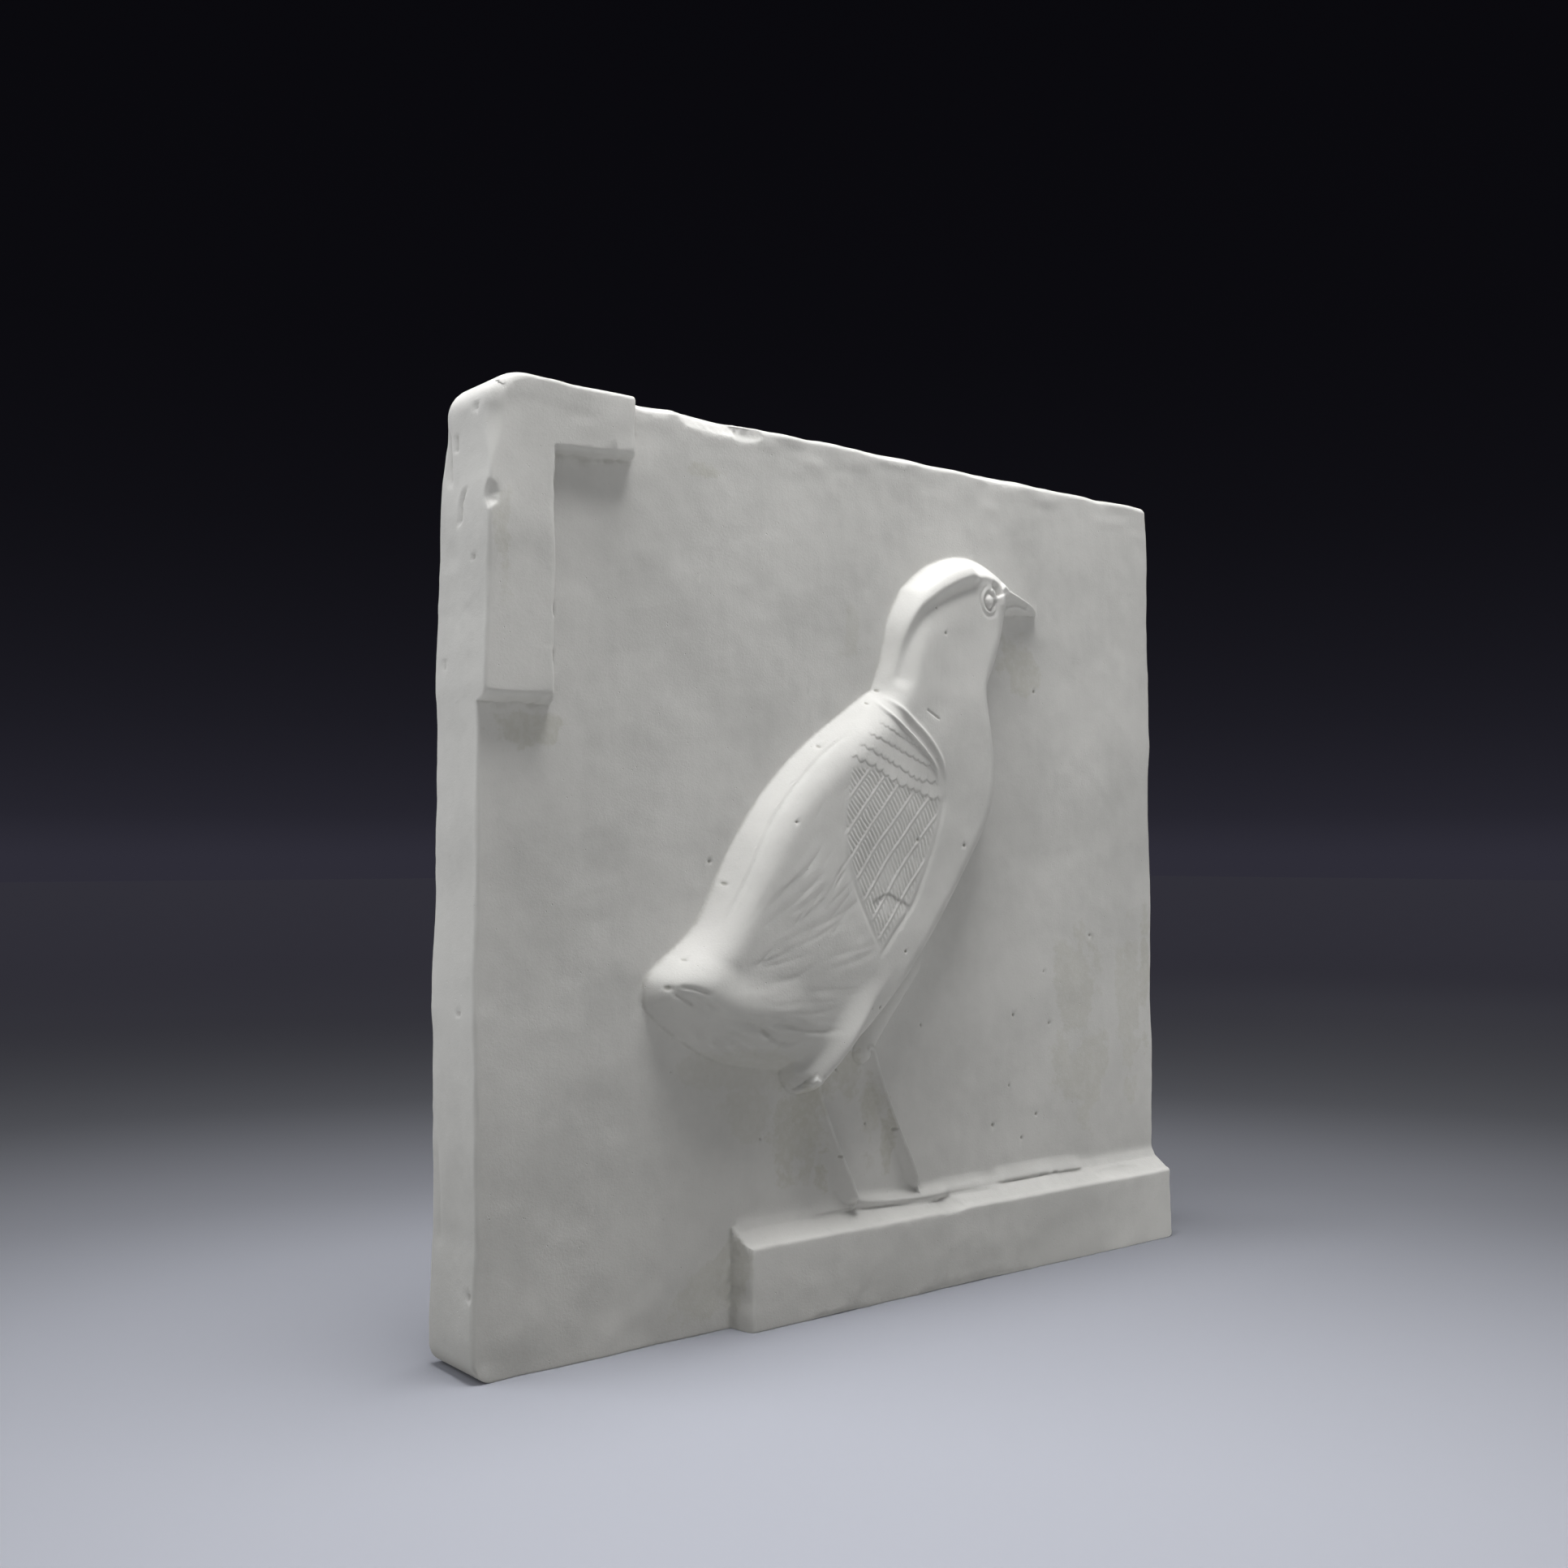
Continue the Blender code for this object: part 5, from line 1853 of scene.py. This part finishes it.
    def points(self, spots: Numbers) -> tuple[Numbers, Numbers]:
        """Places of the vertices.

        Args:
            spots: Each vertex's x, z and share of the depth.

        Returns:
            The places in the slab's own x, y and z, and how far each lies in a bubble.
        """
        slab = self.slab
        x, z, share = spots.T
        inset = np.minimum(np.minimum(x, slab.width - x), np.minimum(z, slab.height - z))
        raised = self.front_height(x, z)
        whole = slab.thickness(z) + raised
        depth = share * whole
        radius = slab.arris_radius(x, z)
        inset_now, depth_now = slab.turned(inset, depth, radius)
        inset_now, from_back = slab.turned(inset_now, whole - depth_now, radius)
        depth_now = whole - from_back
        x_now = np.clip(x, inset_now, slab.width - inset_now)
        z_now = np.clip(z, inset_now, slab.height - inset_now)
        placed_x, placed_z = slab.outline(x_now, z_now)
        on_left = (x < 1e-6) & (share > 0.0) & (share < 1.0)
        cut = sum(gouge.depth(z, share) for gouge in self.gouges)
        uneven = 0.00012 * clouds(z, depth, 0.006, 81) + 0.00004 * clouds(z, depth, 0.0018, 82)
        side = on_left * (cut + uneven * ease(depth / 0.002))
        on_right = (x > slab.width - 1e-6) & (share > 0.0) & (share < 1.0)
        placed_x = placed_x + side - on_right * uneven * ease(depth / 0.002)
        on_top = (z > slab.height - 1e-6) & (share > 0.0) & (share < 1.0)
        placed_z = placed_z + on_top * 0.00012 * clouds(x, depth, 0.005, 83) * ease(depth / 0.002)
        on_back = share >= 1.0
        scraped = 0.00010 * clouds(x, z / 3.0, 0.011, 84) + 0.00005 * clouds(x, z, 0.004, 85)
        placed_y = depth_now - raised - on_back * (np.abs(scraped) * ease(inset / 0.006))
        return np.column_stack([placed_x, placed_y, placed_z]), self.wear.pitted(x, z) * (share == 0.0)

    @staticmethod
    def bend(mesh: bpy.types.Mesh, rounds: int) -> Numbers:
        """How hollow the surface is at each vertex.

        Args:
            mesh: The mesh.
            rounds: How often the measure is spread to the neighbours.

        Returns:
            0 on a sharp ridge, 0.5 where flat and 1 in a sharp hollow.
        """
        count = len(mesh.vertices)
        points = np.empty(count * 3)
        normals = np.empty(count * 3)
        edges = np.empty(len(mesh.edges) * 2, int)
        mesh.vertices.foreach_get("co", points)
        mesh.vertices.foreach_get("normal", normals)
        mesh.edges.foreach_get("vertices", edges)
        points, normals, edges = points.reshape(-1, 3), normals.reshape(-1, 3), edges.reshape(-1, 2)
        off = points[edges[:, 1]] - points[edges[:, 0]]
        length = np.maximum(np.linalg.norm(off, axis=1), 1e-9)
        lean = np.einsum("ij,ij->i", off, normals[edges[:, 0]]) / length
        back = -np.einsum("ij,ij->i", off, normals[edges[:, 1]]) / length
        total = np.bincount(edges[:, 0], lean, count) + np.bincount(edges[:, 1], back, count)
        friends = np.bincount(edges.ravel(), minlength=count)
        measure = total / np.maximum(friends, 1)
        for _ in range(rounds):
            spread = np.bincount(edges[:, 0], measure[edges[:, 1]], count)
            spread += np.bincount(edges[:, 1], measure[edges[:, 0]], count)
            measure = 0.5 * measure + 0.5 * spread / np.maximum(friends, 1)
        return np.clip(0.5 + 2.2 * measure, 0.0, 1.0)

    def build(self, groups: PlasterGroups) -> bpy.types.Object:
        """Models and dresses the plaque in its packed place.

        Args:
            groups: The shared node groups.

        Returns:
            The plaque.
        """
        spots, quads, many = self.grid()
        points, pits = self.points(spots)
        low, high = points.min(axis=0), points.max(axis=0)
        box_low, box_high = (np.array(corner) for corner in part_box(NODE))
        middle = (box_low + box_high) / 2.0
        shift = middle - (low + high) / 2.0
        shift[1] = box_high[1] - high[1]
        shift[2] = box_low[2] - low[2]
        mesh = bpy.data.meshes.new("plaster_relief")
        loops = np.concatenate([quads.ravel()] + many)
        totals = np.concatenate([np.full(len(quads), 4), [len(face) for face in many]])
        starts = np.concatenate([[0], np.cumsum(totals)[:-1]])
        mesh.vertices.add(len(points))
        mesh.vertices.foreach_set("co", (points + shift).ravel())
        mesh.loops.add(len(loops))
        mesh.loops.foreach_set("vertex_index", loops.astype(np.int32))
        mesh.polygons.add(len(totals))
        mesh.polygons.foreach_set("loop_start", starts.astype(np.int32))
        mesh.update(calc_edges=True)
        # The pit number also darkens the colour in bubble pits: dusting and painted shade.
        mesh.attributes.new("pit", "FLOAT", "POINT").data.foreach_set("value", pits)
        plaque = bpy.data.objects.new("plaster_relief", mesh)
        bpy.context.scene.collection.objects.link(plaque)
        thin = plaque.modifiers.new("Thin", "DECIMATE")
        thin.decimate_type = "COLLAPSE"
        thin.ratio = min(1.0, self.triangles / float((totals - 2).sum()))
        view = bpy.context.evaluated_depsgraph_get()
        thinned = bpy.data.meshes.new_from_object(plaque.evaluated_get(view))
        plaque.modifiers.clear()
        plaque.data = thinned
        bpy.data.meshes.remove(mesh)
        thinned.shade_smooth()
        # The bend drives the darkening of hollows in the colour: dusting and painted shade.
        thinned.attributes.new("bend", "FLOAT", "POINT").data.foreach_set("value", self.bend(thinned, 1))
        corner = Vector((shift[0], shift[1], shift[2]))
        thinned.materials.clear()
        thinned.materials.append(plaster_material(self.finish, groups, corner))
        LOG.info("plaster_relief: %d triangles", sum(len(face.vertices) - 2 for face in thinned.polygons))
        return plaque


@dataclass(frozen=True)
class SoftLight:
    """A soft studio lamp that points at the plaque's middle."""

    name: str
    place: tuple[float, float, float]
    size: float
    power: float
    colour: tuple[float, float, float] = (1.0, 1.0, 1.0)

    def build(self, aim: Vector) -> bpy.types.Object:
        """Hangs the lamp.

        Args:
            aim: What it points at.

        Returns:
            The lamp.
        """
        light = bpy.data.lights.new(self.name, "AREA")
        light.shape = "DISK"
        light.size = self.size
        light.energy = self.power
        light.color = self.colour
        lamp = bpy.data.objects.new(self.name, light)
        lamp.location = self.place
        lamp.rotation_euler = (aim - Vector(self.place)).to_track_quat("-Z", "Y").to_euler()
        bpy.context.scene.collection.objects.link(lamp)
        return lamp


@dataclass(frozen=True)
class Studio:
    """The floor, the dark surroundings, the lamps and the camera."""

    camera_place: tuple[float, float, float] = (-0.23142, -0.26235, 0.09263)
    camera_pitch: float = 92.548
    camera_turn: float = -38.80
    lens: float = 37.27
    sensor: float = 36.0
    floor_size: float = 12.0
    pool_middle: tuple[float, float] = (-0.10, -0.13)
    pool_reach: float = 3.0
    floor_tint: tuple[float, float, float] = (0.955, 0.985, 1.12)
    # Painted pool of light: the floor colour that the camera sees darkens away from the plaque.
    painted_light_pool: Stations = ((0.00, 0.405), (0.10, 0.395), (0.20, 0.290), (0.30, 0.170), (0.47, 0.052),
                            (0.80, 0.016), (1.40, 0.0))
    bounce: Stations = ((0.00, 0.18), (0.12, 0.20), (0.25, 0.36), (0.50, 0.50), (1.00, 0.45), (3.00, 0.30))
    glow: Stations = ((0.00, 0.0), (0.15, 0.05), (0.30, 0.42), (0.70, 0.50), (1.50, 0.30), (3.00, 0.12))
    # Painted glow that the camera sees on the far floor and in the sky.
    painted_glow_tint: tuple[float, float, float] = (0.97, 0.93, 1.36)
    painted_haze: Stations = ((0.30, 0.0), (0.60, 0.012), (0.90, 0.020), (1.60, 0.0235), (3.0, 0.0235))
    sky: Stations = ((0.0, 0.0300), (0.025, 0.0195), (0.08, 0.0114), (0.14, 0.0074), (0.20, 0.0051),
                     (0.30, 0.0035), (0.50, 0.0030))
    ambient: float = 0.13
    aim: tuple[float, float, float] = (0.0, 0.0, 0.09)
    floor_roughness: float = 0.85
    floor_specular: float = 0.15
    nearest: float = 0.01
    lamps: tuple[SoftLight, ...] = (
        SoftLight("key_above", (-0.05, -0.056, 0.60), 0.30, 4.1, (1.0, 0.995, 0.98)),
        SoftLight("side_left", (-0.55, 0.34, 0.55), 0.50, 1.8, (0.98, 0.99, 1.0)),
        SoftLight("fill_right", (0.80, 0.30, 0.45), 0.60, 0.6, (0.97, 0.98, 1.0)),
        SoftLight("fill_front", (-0.10, -0.85, 0.45), 0.80, 0.34, (1.0, 0.99, 0.98)))

    def floor(self) -> bpy.types.Object:
        """The pale floor, with a painted pool of light: its colour darkens away from the plaque, and the
        camera sees a painted glow on its far part.

        Returns:
            The floor.
        """
        half = self.floor_size / 2.0
        mesh = bpy.data.meshes.new("studio_floor")
        corners = [(-half, -half, 0.0), (half, -half, 0.0), (half, half, 0.0), (-half, half, 0.0)]
        mesh.from_pydata(corners, [], [(0, 1, 2, 3)])
        floor = bpy.data.objects.new("studio_floor", mesh)
        bpy.context.scene.collection.objects.link(floor)
        material, nodes, shader = shader_material("studio_floor")
        place = object_place(nodes)
        offset = nodes.tree.nodes.new("ShaderNodeVectorMath")
        offset.operation = "SUBTRACT"
        nodes.link(place, offset.inputs[0])
        offset.inputs[1].default_value = (*self.pool_middle, 0.0)
        length = nodes.tree.nodes.new("ShaderNodeVectorMath")
        length.operation = "LENGTH"
        nodes.link(offset.outputs[0], length.inputs[0])
        share = nodes.math("DIVIDE", length.outputs["Value"], self.pool_reach)
        # Painted pool of light in the floor's colour.
        pale = nodes.fade(share, self.painted_light_pool, self.pool_reach, self.floor_tint)
        seen = nodes.tree.nodes.new("ShaderNodeLightPath").outputs["Is Camera Ray"]
        bounced = nodes.fade(share, self.bounce, self.pool_reach, (1.0, 1.0, 1.0))
        nodes.link(nodes.mix(seen, bounced, pale), shader.inputs["Base Color"])
        # Emission: lighting rays get the glow that lights the plaque; the camera sees a painted glow that
        # rises on the far floor.
        glowing = nodes.fade(share, self.glow, self.pool_reach, (1.0, 1.0, 0.99))
        painted_haze = nodes.fade(share, self.painted_haze, self.pool_reach, self.painted_glow_tint)
        nodes.link(nodes.mix(seen, glowing, painted_haze), shader.inputs["Emission Color"])
        shader.inputs["Emission Strength"].default_value = 1.0
        shader.inputs["Roughness"].default_value = self.floor_roughness
        shader.inputs["Specular IOR Level"].default_value = self.floor_specular
        mesh.materials.append(material)
        return floor

    def surroundings(self) -> None:
        """Dark surroundings that still give the plaque a little light from everywhere, and that the camera
        sees as a painted glow, brightest low down.
        """
        world = bpy.data.worlds.new("studio")
        bpy.context.scene.world = world
        world.use_nodes = True
        nodes = Nodes(world.node_tree)
        sky = world.node_tree.nodes["Background"]
        place = world.node_tree.nodes.new("ShaderNodeTexCoord").outputs["Generated"]
        parts = world.node_tree.nodes.new("ShaderNodeSeparateXYZ")
        nodes.link(place, parts.inputs[0])
        # The camera sees a painted glow, brightest at and below the horizon and fading upwards; lighting rays
        # get the even ambient.
        shown = nodes.fade(parts.outputs["Z"], self.sky, 1.0, self.painted_glow_tint)
        seen = world.node_tree.nodes.new("ShaderNodeLightPath").outputs["Is Camera Ray"]
        nodes.link(nodes.mix(seen, (self.ambient,) * 3, shown), sky.inputs["Color"])

    def camera(self) -> bpy.types.Object:
        """The camera at the photograph's viewing angle.

        Returns:
            The camera.
        """
        data = bpy.data.cameras.new("camera")
        data.lens = self.lens
        data.sensor_width = self.sensor
        data.clip_start = self.nearest
        camera = bpy.data.objects.new("camera", data)
        camera.location = self.camera_place
        camera.rotation_euler = (math.radians(self.camera_pitch), 0.0, math.radians(self.camera_turn))
        bpy.context.scene.collection.objects.link(camera)
        bpy.context.scene.camera = camera
        return camera

    def build(self) -> None:
        """Sets the studio up."""
        self.floor()
        self.surroundings()
        aim = Vector(self.aim)
        for lamp in self.lamps:
            lamp.build(aim)
        self.camera()
        bpy.context.scene.view_settings.view_transform = "Standard"
        LOG.info("studio: %d lamps", len(self.lamps))


def main() -> None:
    """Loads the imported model, dresses it and sets the studio up."""
    logging.basicConfig(level=logging.INFO, format="%(name)s: %(message)s")
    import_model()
    plaque = Plaque().build(PlasterGroups.build())
    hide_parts(NODE)
    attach(plaque, "root")
    Studio().build()


if __name__ == "__main__":
    main()
